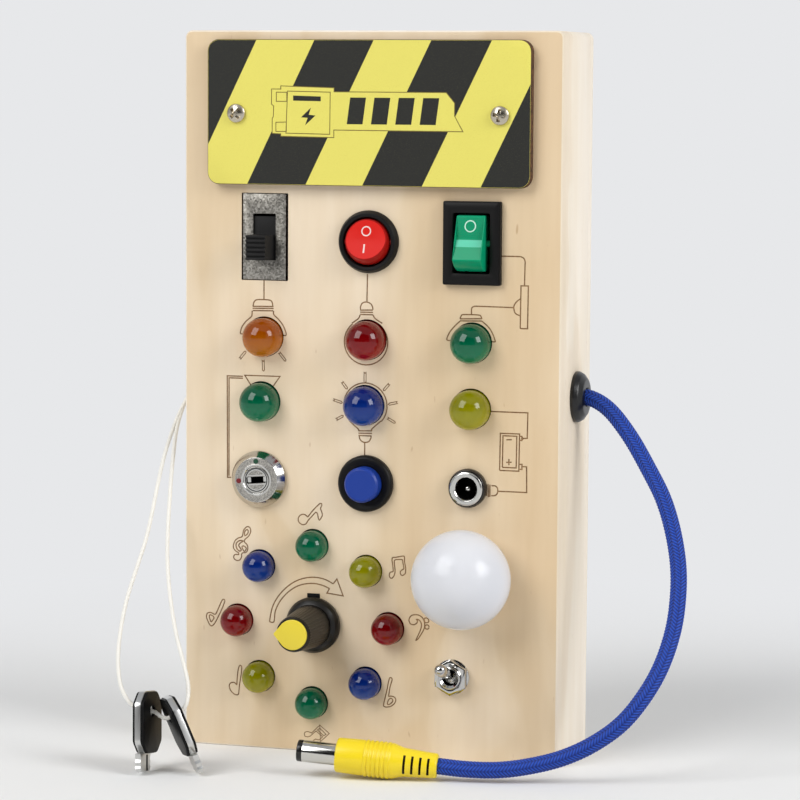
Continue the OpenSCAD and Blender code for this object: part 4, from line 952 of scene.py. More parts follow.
# %% Notes, as closed outlines
notes = [
    [(-34.4, 55.0), (-34.1, 56.0), (-34.0, 56.6), (-33.5, 57.3), (-32.9, 57.7), (-32.3, 57.5),
     (-32.0, 56.8), (-32.1, 56.1), (-32.6, 55.2), (-33.3, 54.6), (-33.7, 54.1), (-33.7, 53.6),
     (-33.1, 53.1), (-32.8, 52.4), (-32.9, 51.5), (-33.4, 50.9), (-34.2, 50.8), (-34.5, 50.4),
     (-34.5, 49.8), (-34.9, 49.0), (-35.6, 48.7), (-36.4, 49.0), (-36.7, 49.6), (-36.4, 50.2),
     (-35.7, 50.3), (-35.3, 50.3), (-35.4, 50.8), (-36.0, 51.1), (-36.6, 51.7), (-36.8, 52.5),
     (-36.6, 53.2), (-36.2, 54.0), (-35.4, 54.6)],
    [(-33.6, 55.3), (-33.7, 56.1), (-33.4, 56.7), (-32.9, 56.9), (-32.7, 56.4), (-32.9, 55.8)],
    [(-34.4, 52.4), (-33.9, 52.6), (-33.3, 52.2), (-33.3, 51.7), (-33.7, 51.2), (-34.1, 51.6)],
    [(-16.5, 61.0), (-17.0, 61.4), (-17.7, 61.6), (-18.5, 61.3), (-19.0, 60.6), (-19.0, 59.8),
     (-18.4, 59.1), (-17.6, 58.9), (-16.9, 59.2), (-16.4, 60.0), (-15.4, 61.1), (-14.4, 62.2),
     (-14.1, 62.2), (-13.8, 61.8), (-13.6, 60.8), (-13.3, 60.3), (-12.9, 60.8), (-12.5, 61.6),
     (-12.7, 62.5), (-13.0, 63.3), (-12.7, 64.0), (-12.7, 64.5), (-13.1, 64.6), (-13.6, 64.2),
     (-15.0, 62.8), (-16.1, 61.4)],
    [(6.3, 51.4), (7.4, 51.7), (9.2, 52.1), (9.6, 51.8), (9.6, 50.6), (9.9, 49.3), (9.9, 47.9),
     (9.6, 47.4), (9.0, 47.1), (8.6, 47.4), (8.5, 48.0), (8.9, 48.5), (9.4, 48.8), (9.4, 49.5),
     (9.2, 50.3), (9.1, 50.9), (8.8, 51.2), (7.1, 51.0), (6.9, 50.2), (7.1, 48.4), (7.0, 47.4),
     (6.7, 46.7), (6.1, 46.2), (5.6, 46.7), (5.7, 47.6), (6.2, 47.9), (6.6, 48.1), (6.5, 49.4)],
    [(11.2, 34.9), (10.9, 35.6), (11.1, 36.4), (11.7, 37.0), (12.7, 37.2), (13.6, 37.1), (14.4, 36.6),
     (14.9, 35.8), (15.1, 34.7), (14.9, 33.6), (14.3, 32.5), (13.5, 31.2), (12.8, 30.6), (13.2, 31.6),
     (13.8, 32.9), (14.2, 34.1), (14.2, 35.0), (13.8, 35.7), (13.3, 36.0), (12.9, 36.0), (13.2, 35.5),
     (12.8, 34.9), (12.2, 34.6), (11.5, 34.7)],
    [(15.0, 36.3), (15.6, 36.5), (16.1, 36.1), (16.1, 35.5), (15.2, 35.3)],
    [(-41.8, 34.3), (-41.2, 35.2), (-40.4, 37.0), (-39.9, 38.0), (-39.5, 38.4), (-39.1, 38.1),
     (-39.2, 37.6), (-39.7, 36.3), (-40.5, 34.6), (-41.4, 32.8), (-42.1, 31.7), (-42.8, 31.2),
     (-43.4, 31.7), (-44.0, 32.9), (-44.2, 33.7), (-44.0, 34.4), (-43.5, 34.7), (-42.8, 34.7)],
    [(-43.2, 34.1), (-42.5, 33.9), (-42.1, 33.4), (-42.4, 32.8), (-42.9, 32.3), (-43.2, 32.9),
     (-43.4, 33.6)],
    [(-35.8, 16.2), (-35.7, 17.4), (-35.5, 19.5), (-35.2, 20.8), (-34.9, 21.3), (-34.6, 21.2),
     (-34.4, 20.6), (-34.6, 18.8), (-35.0, 16.4), (-35.2, 14.3), (-35.4, 13.6), (-36.0, 13.5),
     (-36.7, 13.8), (-37.5, 14.6), (-37.8, 15.4), (-37.8, 16.1), (-37.3, 16.6), (-36.4, 16.7)],
    [(5.6, 15.7), (5.7, 16.6), (5.9, 17.9), (6.2, 19.1), (6.5, 20.0), (6.4, 20.4), (6.1, 20.6),
     (5.8, 20.4), (5.5, 19.4), (5.2, 17.7), (4.8, 16.0), (4.5, 14.7), (4.2, 13.3), (4.6, 12.9),
     (5.3, 12.9), (6.3, 13.2), (7.1, 13.9), (7.5, 14.7), (7.3, 15.4), (6.8, 15.7), (6.1, 15.8)],
    [(5.3, 13.6), (5.3, 14.1), (5.6, 14.8), (6.1, 15.2), (6.6, 15.0), (6.7, 14.5), (6.2, 13.9),
     (5.7, 13.6)],
]
print(len(notes), "outlines of notes")

# %% Notes, as lines
hooks = [
    [(-34.0, 53.9), (-34.8, 54.0), (-35.5, 53.7), (-36.0, 53.1), (-36.0, 52.4), (-35.7, 51.7),
     (-35.0, 51.2), (-34.6, 51.6), (-35.0, 52.2), (-35.3, 52.7), (-34.9, 53.3), (-34.0, 53.9)],
]
flags = [
    [(-13.0, 7.0), (-10.4, 5.0), (-11.5, 3.9), (-12.8, 2.7)],
    [(-13.0, 6.2), (-11.3, 4.7), (-11.9, 4.3), (-13.6, 5.7)],
    [(-13.0, 7.0), (-14.3, 5.7), (-15.2, 4.8), (-15.7, 5.0), (-16.4, 5.1), (-17.0, 4.9), (-17.2, 4.4),
     (-17.0, 3.8), (-16.2, 3.7), (-15.5, 4.0), (-14.8, 4.7), (-14.0, 5.4), (-12.2, 4.0), (-13.0, 3.2),
     (-13.4, 3.1), (-14.1, 3.3), (-14.6, 3.0), (-14.7, 2.1)],
]
# %% Rays: each is the outline of a short bar, given by its two ends
rays = [
    ((-35.0, 101.2), (-33.6, 102.9)), ((-28.7, 100.9), (-28.6, 98.4)), ((-24.3, 103.0), (-22.7, 101.1)),
    ((-1.2, 98.7), (-1.2, 96.3)), ((-7.3, 96.0), (-6.1, 94.5)), ((-9.6, 91.4), (-7.5, 90.8)),
    ((-8.8, 86.4), (-7.2, 87.3)), ((5.2, 95.9), (3.9, 94.4)), ((7.4, 91.3), (5.3, 90.8)),
    ((4.9, 87.2), (6.7, 86.2)),
]
print(len(hooks) + len(flags), "lines in notes and", len(rays), "rays")

# %% Burn the strokes
STROKE, NOTE_STROKE, RAY_STROKE, FLAG_STROKE = 0.33, 0.3, 0.24, 0.22  # widths
BURN_DEPTH = 0.12


def burn(line, width, closed=False):
    return [("burnt", quad) for quad in ribbon(line, width, closed)]


strokes = straight + [flowing(line) for line in curved + hooks]
strokes += [arc(-1.0, 106.4, 5.8, 128, 412), arc(-1.1, 90.2, 5.8, -42, 223)]
strokes.append(arc(15.7, 34.2, 0.55, 0, 350))
burnt = []
for line in strokes:
    burnt += burn(line, STROKE)
for line in notes:
    burnt += burn(flowing(line, 3, closed=True), NOTE_STROKE, closed=True)
for line in flags:
    burnt += burn(line, FLAG_STROKE, closed=len(line) == 4)
for a, b in rays:
    a, b = Vector(a), Vector(b)
    side = Vector((b.y - a.y, a.x - b.x)).normalized() * 0.27
    tip = side.orthogonal() * 0.9
    outline = [a + side, a + tip, a - side, b - side, b + tip, b + side]
    burnt += burn(outline, RAY_STROKE, closed=True)
print(len(strokes) + len(rays), "strokes,", len(burnt), "pieces of line")

# %% [markdown]
# ## The face panel
# One sheet of 5 mm ply, cut out by laser: holes for every switch and lamp, charred where the beam
# went through, and an edge sanded round so that it is kind to small hands.

# %% Lamp places
RING_RADIUS = 20.45
lamp_spots = {
    "orange": [(-28.4, 106.9)], "red": [(-0.7, 106.9)], "green": [(27, 106.9), (-29.2, 90.2)],
    "blue": [(-1.2, 90.2)], "yellow": [(26.9, 90.2)],
}
ring_spots = {}
for first, colour in enumerate(("green", "yellow", "red", "blue")):
    turns = [math.pi / 4 * k for k in (first, first + 4)]
    ring_spots[colour] = [
        (LAMP_RING[0] + RING_RADIUS * math.sin(a), LAMP_RING[1] + RING_RADIUS * math.cos(a)) for a in turns]
print(sum(len(spots) for colours in (lamp_spots, ring_spots) for spots in colours.values()), "lamps")

# %% Face panel
holes = [
    box_loop(width, height, 0.15, 0, place, 1)
    for place, width, height in (
        (PLATE, 59.7, 33.2), (SLIDE_SWITCH, 12.6, 22.35), (SQUARE_ROCKER, 13.2, 19.4),
        ((-14.8, 40.35), 3.5, 1.8),  # the slot for the rotary switch's locating tab
    )
]
for place, r in (
    *((spot, 1.4) for spot in PLATE_SCREWS), (ROUND_ROCKER, 6.9), (KEY_SWITCH, 6.1), (PUSH_BUTTON, 6.1),
    (SOCKET, 4.1), (DIAL, 3.6), (TOGGLE, 3.05), (GLOBE, 9.6),
):
    holes.append(circle(r, 0, 64, place))
for colours, r in ((lamp_spots, 5.2), (ring_spots, 4.2)):
    holes += [circle(r, 0, 72, (x + 0.02, z + 0.12)) for spots in colours.values() for x, z in spots]
outline = box_loop(WIDTH, HEIGHT, 1.8, 0, (0, HEIGHT / 2), 6)
panel_skirt = skirt_of(outline, 0, -PANEL, 0.4)
face = inlay(panel_skirt, holes, burnt, on_face(0, 0), {"burnt": (1, BURN_DEPTH)}, wall=2, edge=3)
panel = build("front_panel_cut", face, [ply_face, engraved, char, ply_side], angle=30)
hang(panel, ["front_panel"])
print(len(holes), "holes")

# %% [markdown]
# ## The box behind it
# Four strips of ply make the wall and a thin sheet closes the back. Their edges are only just
# broken with sandpaper, which leaves a fine groove wherever two of them meet. Such plain pieces need
# no new shape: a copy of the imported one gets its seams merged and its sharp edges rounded.


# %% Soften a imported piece
def softened(node, name, width, material):
    """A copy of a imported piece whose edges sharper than 20 degrees are rounded to the width."""
    bm = bmesh.new()
    bm.from_mesh(frame["nodes"][node].data)
    bmesh.ops.remove_doubles(bm, verts=bm.verts, dist=SEAM)
    bmesh.ops.dissolve_limit(bm, angle_limit=math.radians(1), verts=bm.verts, edges=bm.edges)
    sharp = [e for e in bm.edges if len(e.link_faces) == 2 and e.calc_face_angle() > math.radians(20)]
    bmesh.ops.bevel(bm, geom=sharp, offset=width * MM, segments=2, profile=0.5, affect="EDGES",
                    clamp_overlap=True)
    bmesh.ops.remove_doubles(bm, verts=bm.verts, dist=SEAM)
    return as_piece(name, bm, [material], 35)


# %% Walls and back
for node in ("frame_left", "frame_right", "frame_top", "frame_bottom"):
    hang(softened(node, node + "_sanded", 0.12, ply_side), [node])
hang(softened("back_panel", "back_panel_cut", 0.25, ply_side), ["back_panel"])

# %% [markdown]
# ## The yellow plate
# A separate sheet of ply covers the battery tray. Yellow and black are printed on it: slanted
# warning stripes, and a label panel with a small battery drawn by the beam. Where the label had a
# word, plain charge bars stand instead.


# %% Warning stripes
def clipped(polygon, fence):
    """The part of a polygon inside a convex fence that turns left."""
    for a, b in zip(fence, fence[1:] + fence[:1]):
        a, b, kept = Vector(a[:2]), Vector(b[:2]), []
        side = [(b - a).x * (p[1] - a.y) - (b - a).y * (p[0] - a.x) for p in polygon]
        for k, p in enumerate(polygon):
            if side[k - 1] * side[k] < 0:
                last = Vector(polygon[k - 1])
                kept.append(last.lerp(Vector(p), side[k - 1] / (side[k - 1] - side[k])))
            if side[k] >= 0:
                kept.append(Vector(p))
        polygon = kept
    return polygon


PLATE_WIDTH, PLATE_HEIGHT, PLATE_THICK = 85.4, 36.8, 2.5
PRINT_INSET = 0.2  # bare wood left round the print
LEAN = 18.1  # how far a stripe leans over the plate's height
plate_top = PLATE[1] + PLATE_HEIGHT / 2


def slant(x, z):
    """A stripe edge that meets the plate's top at x."""
    return (x - (plate_top - z) * LEAN / PLATE_HEIGHT, z)


plate_outline = box_loop(PLATE_WIDTH, PLATE_HEIGHT, 3, 0, PLATE, 6)
fence = box_loop(PLATE_WIDTH - 2 * PRINT_INSET, PLATE_HEIGHT - 2 * PRINT_INSET, 3 - PRINT_INSET, 0, PLATE, 6)
artwork = []
for left, right in ((-60, -29.7), (-14.2, 1.5), (16.6, 32.3), (47.6, 80)):
    corners = [slant(left, 184), slant(left, 144), slant(right, 144), slant(right, 184)]
    artwork.append(("black", clipped(corners, fence)))
print(len(artwork), "stripes")

# %% Label
label = [
    (-25.7, 170.2), (-23.2, 170.2), (-23.2, 171.0), (-9, 170.6), (-9, 169.6), (20.5, 169.6), (22.7, 167),
    (22.7, 163.8), (24.9, 159.9), (-9, 160), (-9, 158.1), (-23.2, 158.3), (-23.2, 158.9), (-25.5, 159),
    (-25.5, 162.8), (-25.2, 163.2), (-25.1, 165.9), (-25.7, 166.4)]
battery_box = [(-21.4, 169.7), (-10, 169.5), (-10.1, 158.9), (-21.8, 159.1)]
upper_square = [(-21.6, 169.4), (-24.4, 169.4), (-24.4, 167.1), (-21.6, 167.1)]
lower_square = [(-21.7, 161.9), (-24.5, 161.8), (-24.5, 159.5), (-21.7, 159.5)]
top_bar = [(-19.9, 168.6), (-12.5, 168.4), (-12.5, 167.2), (-19.9, 167.3)]
lightning = [(-15.1, 165.6), (-17.8, 163.1), (-16, 163), (-16.7, 161.1), (-13.9, 163.6), (-15.7, 163.8)]
artwork.append(("yellow", label))
for line in (label, battery_box, upper_square, lower_square):
    artwork += [("line", quad) for quad in ribbon(line, 0.22, closed=True)]
artwork += [("black", top_bar), ("black", lightning)]
for k in range(4):
    x = -5.6 + 6.4 * k
    artwork.append(("black", [(x + 0.9, 168.2), (x, 161.5), (x + 4.2, 161.5), (x + 5.1, 168.2)]))
print(len(artwork), "figures on the plate")

# %% Plate
screw_holes = [circle(1.6, 0, 48, place) for place in PLATE_SCREWS]
plate_zones = {"black": (1, 0), "yellow": (0, 0), "line": (2, 0.03)}
plate_skirt = skirt_of(plate_outline, PLATE_THICK, 0, 0.15, 2)
plate = inlay(plate_skirt, screw_holes, artwork, on_face(0, 0), plate_zones, wall=3, edge=3)
plate = build("warning_plate_printed", plate, [ink_yellow, ink_black, ink_line, char], angle=30)
hang(plate, ["warning_plate"])

# %% [markdown]
# ## Screws
# The plate is held by two small domed screws and the back by six. The cross recess tapers as it
# goes in. Geometry Nodes put a copy of one screw at each place, so the pattern stays one shape; a
# screwdriver leaves every screw at its own angle, so each copy gets a random turn from a fixed seed.

# %% A node group that repeats a finished piece
repeat = bpy.data.node_groups.new("repeat along places", "GeometryNodeTree")
for name, kind in (
    ("Places", "NodeSocketGeometry"), ("Piece", "NodeSocketObject"), ("Finish", "NodeSocketMaterial"),
    ("Turn", "NodeSocketFloat"), ("Seed", "NodeSocketInt"),
):
    repeat.interface.new_socket(name, in_out="INPUT", socket_type=kind)
repeat.interface.new_socket("Pieces", in_out="OUTPUT", socket_type="NodeSocketGeometry")
given = add(repeat, "NodeGroupInput").outputs
spin = add(repeat, "FunctionNodeRandomValue", {"Seed": given["Seed"]}, data_type="FLOAT")
amount = add(repeat, "ShaderNodeMath", {0: spin.outputs[1], 1: given["Turn"]}, operation="MULTIPLY")
axis = add(repeat, "FunctionNodeAxisAngleToRotation", {"Axis": (0, 1, 0), "Angle": amount})
shape = add(repeat, "GeometryNodeObjectInfo", {"Object": given["Piece"]}, transform_space="ORIGINAL")
spread = {"Points": given["Places"], "Instance": shape.outputs["Geometry"], "Rotation": axis}
real = add(repeat, "GeometryNodeRealizeInstances", {0: add(repeat, "GeometryNodeInstanceOnPoints", spread)})
dressed = add(repeat, "GeometryNodeSetMaterial", {"Geometry": real, "Material": given["Finish"]})
add(repeat, "NodeGroupOutput", {0: dressed})
print(repeat.name, "has", len(repeat.nodes), "nodes")


def repeated(name, piece, places, material, turn, seed):
    """One mesh of the piece at every place (mm in the shared frame), each turned up to turn about Y."""
    mesh = bpy.data.meshes.new(name)
    mesh.from_pydata([Vector(p) * MM for p in places], [], [])
    carrier = in_scene(name, mesh)
    modifier = carrier.modifiers.new("repeat", "NODES")
    modifier.node_group = repeat
    keys = {s.name: s.identifier for s in repeat.interface.items_tree if s.in_out == "INPUT"}
    for label, value in (("Piece", piece), ("Finish", material), ("Turn", turn), ("Seed", seed)):
        modifier[keys[label]] = value
    graph = bpy.context.evaluated_depsgraph_get()
    carrier.data = bpy.data.meshes.new_from_object(carrier.evaluated_get(graph))
    carrier.modifiers.clear()
    bpy.data.objects.remove(piece)
    print(name, len(places), "copies")
    return carrier


# %% One screw, then its copies
def screw(head_r, rise, recess, length, shank_r, facing=1):
    """A domed head with a tapered cross recess, and its shank. It faces the front (1) or back (-1)."""
    upright = Matrix.Rotation(facing * math.pi / 2, 4, "X")
    sides, fall = 40, 0.62  # how much of its rise the dome loses at the rim, and the recess is deep

    def dome(u, v):
        return rise * (1 - (u * u + v * v) / head_r**2 * fall)

    arm, reach = recess
    cross = [
        (reach, -arm), (reach, arm), (arm, arm), (arm, reach), (-arm, reach), (-arm, arm), (-reach, arm),
        (-reach, -arm), (-arm, -arm), (-arm, -reach), (arm, -reach), (arm, -arm)]
    figures = [("dome", circle(head_r * share, 0, sides)) for share in (0.92, 0.8, 0.65, 0.5, 0.35)]
    figures.append(("recess", cross))
    rim = [(u, v, dome(u, v)) for u, v, _ in circle(head_r * 0.97, 0, sides)]
    flank = ((head_r, rise * 0.33), (head_r, 0.02), (head_r - 0.1, 0))
    skirt = [rim] + [circle(r, h, sides) for r, h in flank]
    top = inlay(skirt, (), figures, upright, {"recess": (0, rise * fall)}, dome)
    shank = lathe([(0, 0.05), (shank_r, 0.05), (shank_r, -length + 1), (0, -length)], upright, sides=24)
    return build("pattern", top + [shank], [nickel], angle=30)


MOST_TURN = 1.2  # radians
plate_places = [(x, FACE_Y - PLATE_THICK, z) for x, z in PLATE_SCREWS]
plate_screw = screw(2.4, 1.6, (0.46, 1.6), 11.4, 1.35)
plate_screws = repeated("plate_screws_pressed", plate_screw, plate_places, nickel, MOST_TURN, 4)
hang(plate_screws, ["plate_screws"])
back_places = [(x, 14.55, z) for x, z in ((-48, 25), (48, 25), (-48, 160), (48, 160), (0, 2), (0, 183))]
back_screw = screw(1.7, 0.42, (0.3, 1.0), 8.6, 0.85, facing=-1)
back_screws = repeated("back_screws_pressed", back_screw, back_places, nickel, MOST_TURN, 7)
hang(back_screws, ["back_screws"])

# %% [markdown]
# ## Slide switch
# Its plate is galvanised sheet, cut and folded; the slider is moulded with a row of grip ribs.

# %% Slide switch
slide_frame = softened("slide_switch_frame", "slide_frame_pressed", 0.1, zinc)
hang(slide_frame, ["slide_switch_frame"])
slide_knob = softened("slide_switch_slider", "slide_knob_moulded", 0.14, matte_black)
hang(slide_knob, ["slide_switch_slider"], "slider")

# %% [markdown]
# ## Two rocker switches
# A rocker cap is a shallow V that swings on two pins inside a moulded collar. The marks are printed
# flush, and the square cap has fine grip ribs across its upper half. The round cap's wall is part of a
# ball and the square one's an arch, so that each keeps its gap to the collar as it swings.


# %% Round rocker's collar
at = on_face(*ROUND_ROCKER)
collar = rounded([
    (0, -13, 0), (6.8, -13, 0), (6.8, 0, 0), (7.95, 0, 0), (7.95, 0.5, 0.15), (7.3, 1.9, 0.25),
    (6.4, 1.75, 0.15), (6.15, 1.3, 0), (6.15, -9, 0), (0, -9, 0)])
collar_piece = build("round_rocker_collar", [lathe(collar, at, sides=96)], [satin_black])
hang(collar_piece, ["round_rocker_body"])


# %% Round rocker's cap
def valley(low, slope):
    """Height over a fold along u, from which both halves rise."""
    return lambda u, v: low + slope * abs(v)


def ball_skirt(r, surface, bottom, sides=96, steps=8):
    """Loops from the eased top edge down a ball of radius r about the pins."""

    def on_ball(u, v):
        h, reach = surface(0, 0), r
        for _ in range(6):  # the edge lies on both the ball and the top: a few rounds find it
            reach = math.sqrt(r * r - h * h)
            h = surface(u * reach, v * reach)
        return h, reach

    turns = [(u, v) for u, v, _ in circle(1, 0, sides)]
    inset = [(u, v, on_ball(u, v)[1] - 0.22) for u, v in turns]
    loops = [[(u * reach, v * reach, surface(u * reach, v * reach)) for u, v, reach in inset]]
    for s in range(steps + 1):
        loop = []
        for u, v in turns:
            h = (on_ball(u, v)[0] - 0.16) * (1 - s / steps) + bottom * s / steps
            reach = math.sqrt(r * r - h * h)
            loop.append((u * reach, v * reach, h))
        loops.append(loop)
    return loops


def mark_ring(x, z, r, width):
    line = [p[:2] for p in circle(r - width / 2, 0, 40, (x, z))]
    return [("mark", quad) for quad in ribbon(line, width, closed=True)]


def pivot(half, place, index):
    """The two pins as one rod across the cap."""
    return lathe([(0, -half), (0.8, -half), (0.8, half), (0, half)], place @ SIDEWAYS, index, 24)


ROUND_PIVOT, ROUND_TILT = 0.4, 14.5  # height of the pins in mm, and degrees at rest
round_top = valley(2.35, 0.0875)
fold = [("fold", [(-4.9, 0), (4.9, 0), (3, 3.5), (-3, 3.5)])]  # its lower edge cuts the top at the fold
marks = mark_ring(0, 2.2, 1.3, 0.32) + [("mark", bar(-0.25, -2.3, 0.42, 2.3))]
place = on_face(*ROUND_ROCKER, ROUND_PIVOT, ROUND_TILT)
skirt = ball_skirt(5.9, round_top, -3.6)
cap = inlay(skirt, (), fold + marks, place, {"fold": (0, 0), "mark": (1, 0)}, round_top, edge=2)
cap.append(pivot(6.5, place, 2))
cap = build("round_rocker_cap_moulded", cap, [red_cap, white_mark, red_side], angle=20)
hang(cap, ["round_rocker_cap"], "round_cap")


# %% Square rocker's collar
def stack(levels, place, index=0):
    """A loft of rounded boxes: (width, height, corner radius, h)."""
    return loft([box_loop(width, height, r, h) for width, height, r, h in levels], place, index)


at = on_face(*SQUARE_ROCKER)
levels = [
    (13, 19.2, 0.3, -14), (13, 19.2, 0.3, 0), (14.8, 20.8, 0.3, 0), (15, 21, 0.4, 0.1), (15, 21, 0.4, 1.45),
    (14.9, 20.9, 0.35, 1.58), (14.4, 20.4, 0.3, 1.62), (14.3, 20.3, 0.3, 1.7), (14.25, 20.25, 0.3, 1.93),
    (14.0, 20.0, 0.3, 2.0), (10.0, 15.5, 0.5, 2.0), (9.75, 15.25, 0.5, 1.93), (9.6, 15.1, 0.5, 1.75),
    (9.6, 15.1, 0.5, -9.5)]
collar_piece = build("square_rocker_collar", [stack(levels, at)], [satin_black])
hang(collar_piece, ["square_rocker_body"])

# %% Square rocker's cap
CAP_HALF_WIDTH, CAP_HALF_HEIGHT, CAP_RIM = 3.7, 5.8, 4.13
square_top = valley(3.0, math.tan(math.radians(11)))


def arch_skirt(r, bottom, steps=8):
    """Loops from the eased top edge down walls that bulge to a radius r about the pins."""
    outline = [(u, v) for u, v, _ in box_loop(2 * CAP_HALF_WIDTH, 2 * CAP_HALF_HEIGHT, 0.3)]
    ease_u, ease_v = 1 - 0.2 / CAP_HALF_WIDTH, 1 - 0.2 / CAP_HALF_HEIGHT
    loops = [[(u * ease_u, v * ease_v, square_top(u * ease_u, v * ease_v)) for u, v in outline]]
    for s in range(steps + 1):
        t = s / steps
        rim = (CAP_RIM - 0.15) * (1 - t) + bottom * t
        bulge = math.sqrt(r * r - rim * rim) / CAP_HALF_HEIGHT
        loops.append([(u, v * bulge, (square_top(u, v) - 0.15) * (1 - t) + bottom * t) for u, v in outline])
    return loops


SQUARE_PIVOT, SQUARE_TILT = 0.5, 20
fold = [("fold", [(-3.4, 0), (3.4, 0), (3.4, 5.5), (-3.4, 5.5)]), ("glint", bar(0, -1.1, 6.9, 2.0))]
ribs = [("rib", bar(0, 0.55 + 0.42 * k, 6.9, 0.14)) for k in range(12)]
zones = {"fold": (0, 0), "mark": (1, 0), "rib": (0, 0.06), "glint": (2, 0)}
place = on_face(*SQUARE_ROCKER, SQUARE_PIVOT, SQUARE_TILT)
figures = fold + ribs + mark_ring(0, 3.3, 1.5, 0.3)
cap = inlay(arch_skirt(7.12, -4.2), (), figures, place, zones, square_top)
cap.append(pivot(6.0, place, 0))
cap = build("square_rocker_cap_moulded", cap, [green_cap, pale_mark, green_glint], angle=20)
hang(cap, ["square_rocker_cap"], "square_cap")

# %% [markdown]
# ## Key switch, button and power socket
# Three round parts pushed through the wood from the front. The lock is a blasted casting with a
# polished bevel; the button and the socket have moulded collars with a slight dome.


# %% Key switch body
def banded(profile, place, bands, sides=96):
    """A turned ring whose strips take their finish from bands(radius, height)."""
    vertices, faces, _ = lathe(profile, place, 0, sides, ring=True)
    middles = [((a[0] + b[0]) / 2, (a[1] + b[1]) / 2) for a, b in zip(profile, profile[1:] + profile[:1])]
    return vertices, faces, [index for index in (bands(r, h) for r, h in middles) for _ in range(sides)]


def lock_band(r, h):
    """Frosted on the flat face, a turned bevel outside it, polished elsewhere."""
    if 4.1 < r < 5.6 and h > 2:
        return 0
    return 4 if r > 5.8 else 3


at = on_face(*KEY_SWITCH)
lock = rounded([
    (3.5, -12, 0), (6, -12, 0), (6, 0, 0), (7.25, 0, 0), (7.3, 0.2, 0.05), (7.3, 1.15, 0.12),
    (5.85, 2.85, 0.1), (5.75, 3, 0.1), (5.5, 2.94, 0), (4.2, 2.94, 0), (4.05, 3, 0.05), (3.65, 3, 0.1),
    (3.5, 2.85, 0)], 3)
lock_parts = [banded(lock, at, lock_band)]
dot = [(0, 2.9), (0.66, 2.9), (0.66, 3.02), (0.58, 3.05), (0, 3.05)]
for x, y, index in ((-0.1, 4.8, 1), (-4.75, -0.4, 2)):
    lock_parts.append(lathe(dot, at @ Matrix.Translation((x, y, 0.0)), index, 24))
lock_finishes = [die_cast, green_dot, red_dot, polished, bevel]
lock_body = build("key_switch_cast", lock_parts, lock_finishes, angle=25)
hang(lock_body, ["key_switch_body"])

# %% Key switch core
CORE_TURN = 5  # degrees at rest
core_place = at @ Matrix.Rotation(math.radians(CORE_TURN), 4, "Z")
figures = [
    ("groove", circle(3.05, 0, 40)), ("rim", circle(2.8, 0, 40)), ("face", circle(2.5, 0, 40)),
    ("slot", box_loop(5.4, 1.75, 0.4)), ("bar", bar(0, 1.15, 4.4, 0.3)), ("bar", bar(0, -1.15, 4.4, 0.3))]
# The gap round the core and the keyway are painted black: painted shade, where the metal lies in shadow.
zones = {None: (2, 0), "groove": (1, 0.5), "rim": (2, 0.02), "face": (0, 0.12), "bar": (2, 0.08),
         "slot": (1, 5.9)}
core = inlay(skirt_of(circle(3.45), 2.9, -12, 0.15, 2), (), figures, core_place, zones)
for x in (-2.0, 2.3):  # the wafers that show inside the keyway
    wafer_place = core_place @ Matrix.Translation((x, 0.1, 0))
    core.append(stack([(0.9, 1.3, 0.1, 2.5), (0.9, 1.3, 0.1, 1.4)], wafer_place, 2))
core = build("key_core_turned", core, [die_cast, matte_black, polished], angle=30)
hang(core, ["key_switch_core"], "lock_core")

# %% Push button
at = on_face(*PUSH_BUTTON)
collar = rounded([
    (4.55, -12, 0), (6, -12, 0), (6, 0, 0), (7.25, 0, 0), (7.25, 1.2, 0.3), (6.7, 2.1, 0.6), (5.4, 1.7, 0.2),
    (4.55, 1.6, 0.15)])
collar_piece = build("button_collar_moulded", [lathe(collar, at, sides=96, ring=True)], [satin_black])
hang(collar_piece, ["push_button_body"])
button = rounded([
    (0, -5, 0), (4.5, -5, 0), (4.5, 4.35, 0.2), (3.95, 4.98, 0.3), (3.4, 4.9, 0.3), (0, 4.95, 0)])
flange = [(0, -5.5), (5.2, -5.5), (5.2, -4), (0, -4)]
stem = [(0, -13.2), (1.5, -13.2), (1.5, -4.6), (0, -4.6)]
chunks = [lathe(button, at, sides=80), lathe(flange, at, sides=48), lathe(stem, at, sides=32)]
hang(build("button_cap_moulded", chunks, [blue_button]), ["push_button_cap"], "button")

# %% Power socket
at = on_face(*SOCKET)
shell = rounded([
    (0, -14, 0), (4, -14, 0), (4, 0, 0), (4.95, 0, 0), (4.95, 1.2, 0.15), (4.6, 2, 0.2), (2.8, 2, 0),
    (2.8, -12.5, 0), (0, -12.5, 0)], 3)
shell_piece = build("socket_shell_moulded", [lathe(shell, at, sides=80)], [glossy_black])
hang(shell_piece, ["dc_jack_body"])
lip = rounded([
    (2.8, 2, 0), (4.3, 2, 0), (4.3, 2.35, 0.1), (3.9, 2.6, 0.15), (3.1, 2.6, 0.15), (2.8, 2.3, 0.1)], 3)
lip_piece = build("socket_lip_turned", [lathe(lip, at, sides=80, ring=True)], [polished])
hang(lip_piece, ["dc_jack_ring"])
pin = [(0, -12), (0.98, -12)] + arc(0, -0.5, 0.98, 0, 90, 8)
hang(build("socket_pin_turned", [lathe(pin, on_face(26.2, 70.1), sides=32)], [polished]), [])

# %% [markdown]
# ## The dial
# A fluted phenolic knob with a skirt, and a yellow pointer plate pressed into its top.

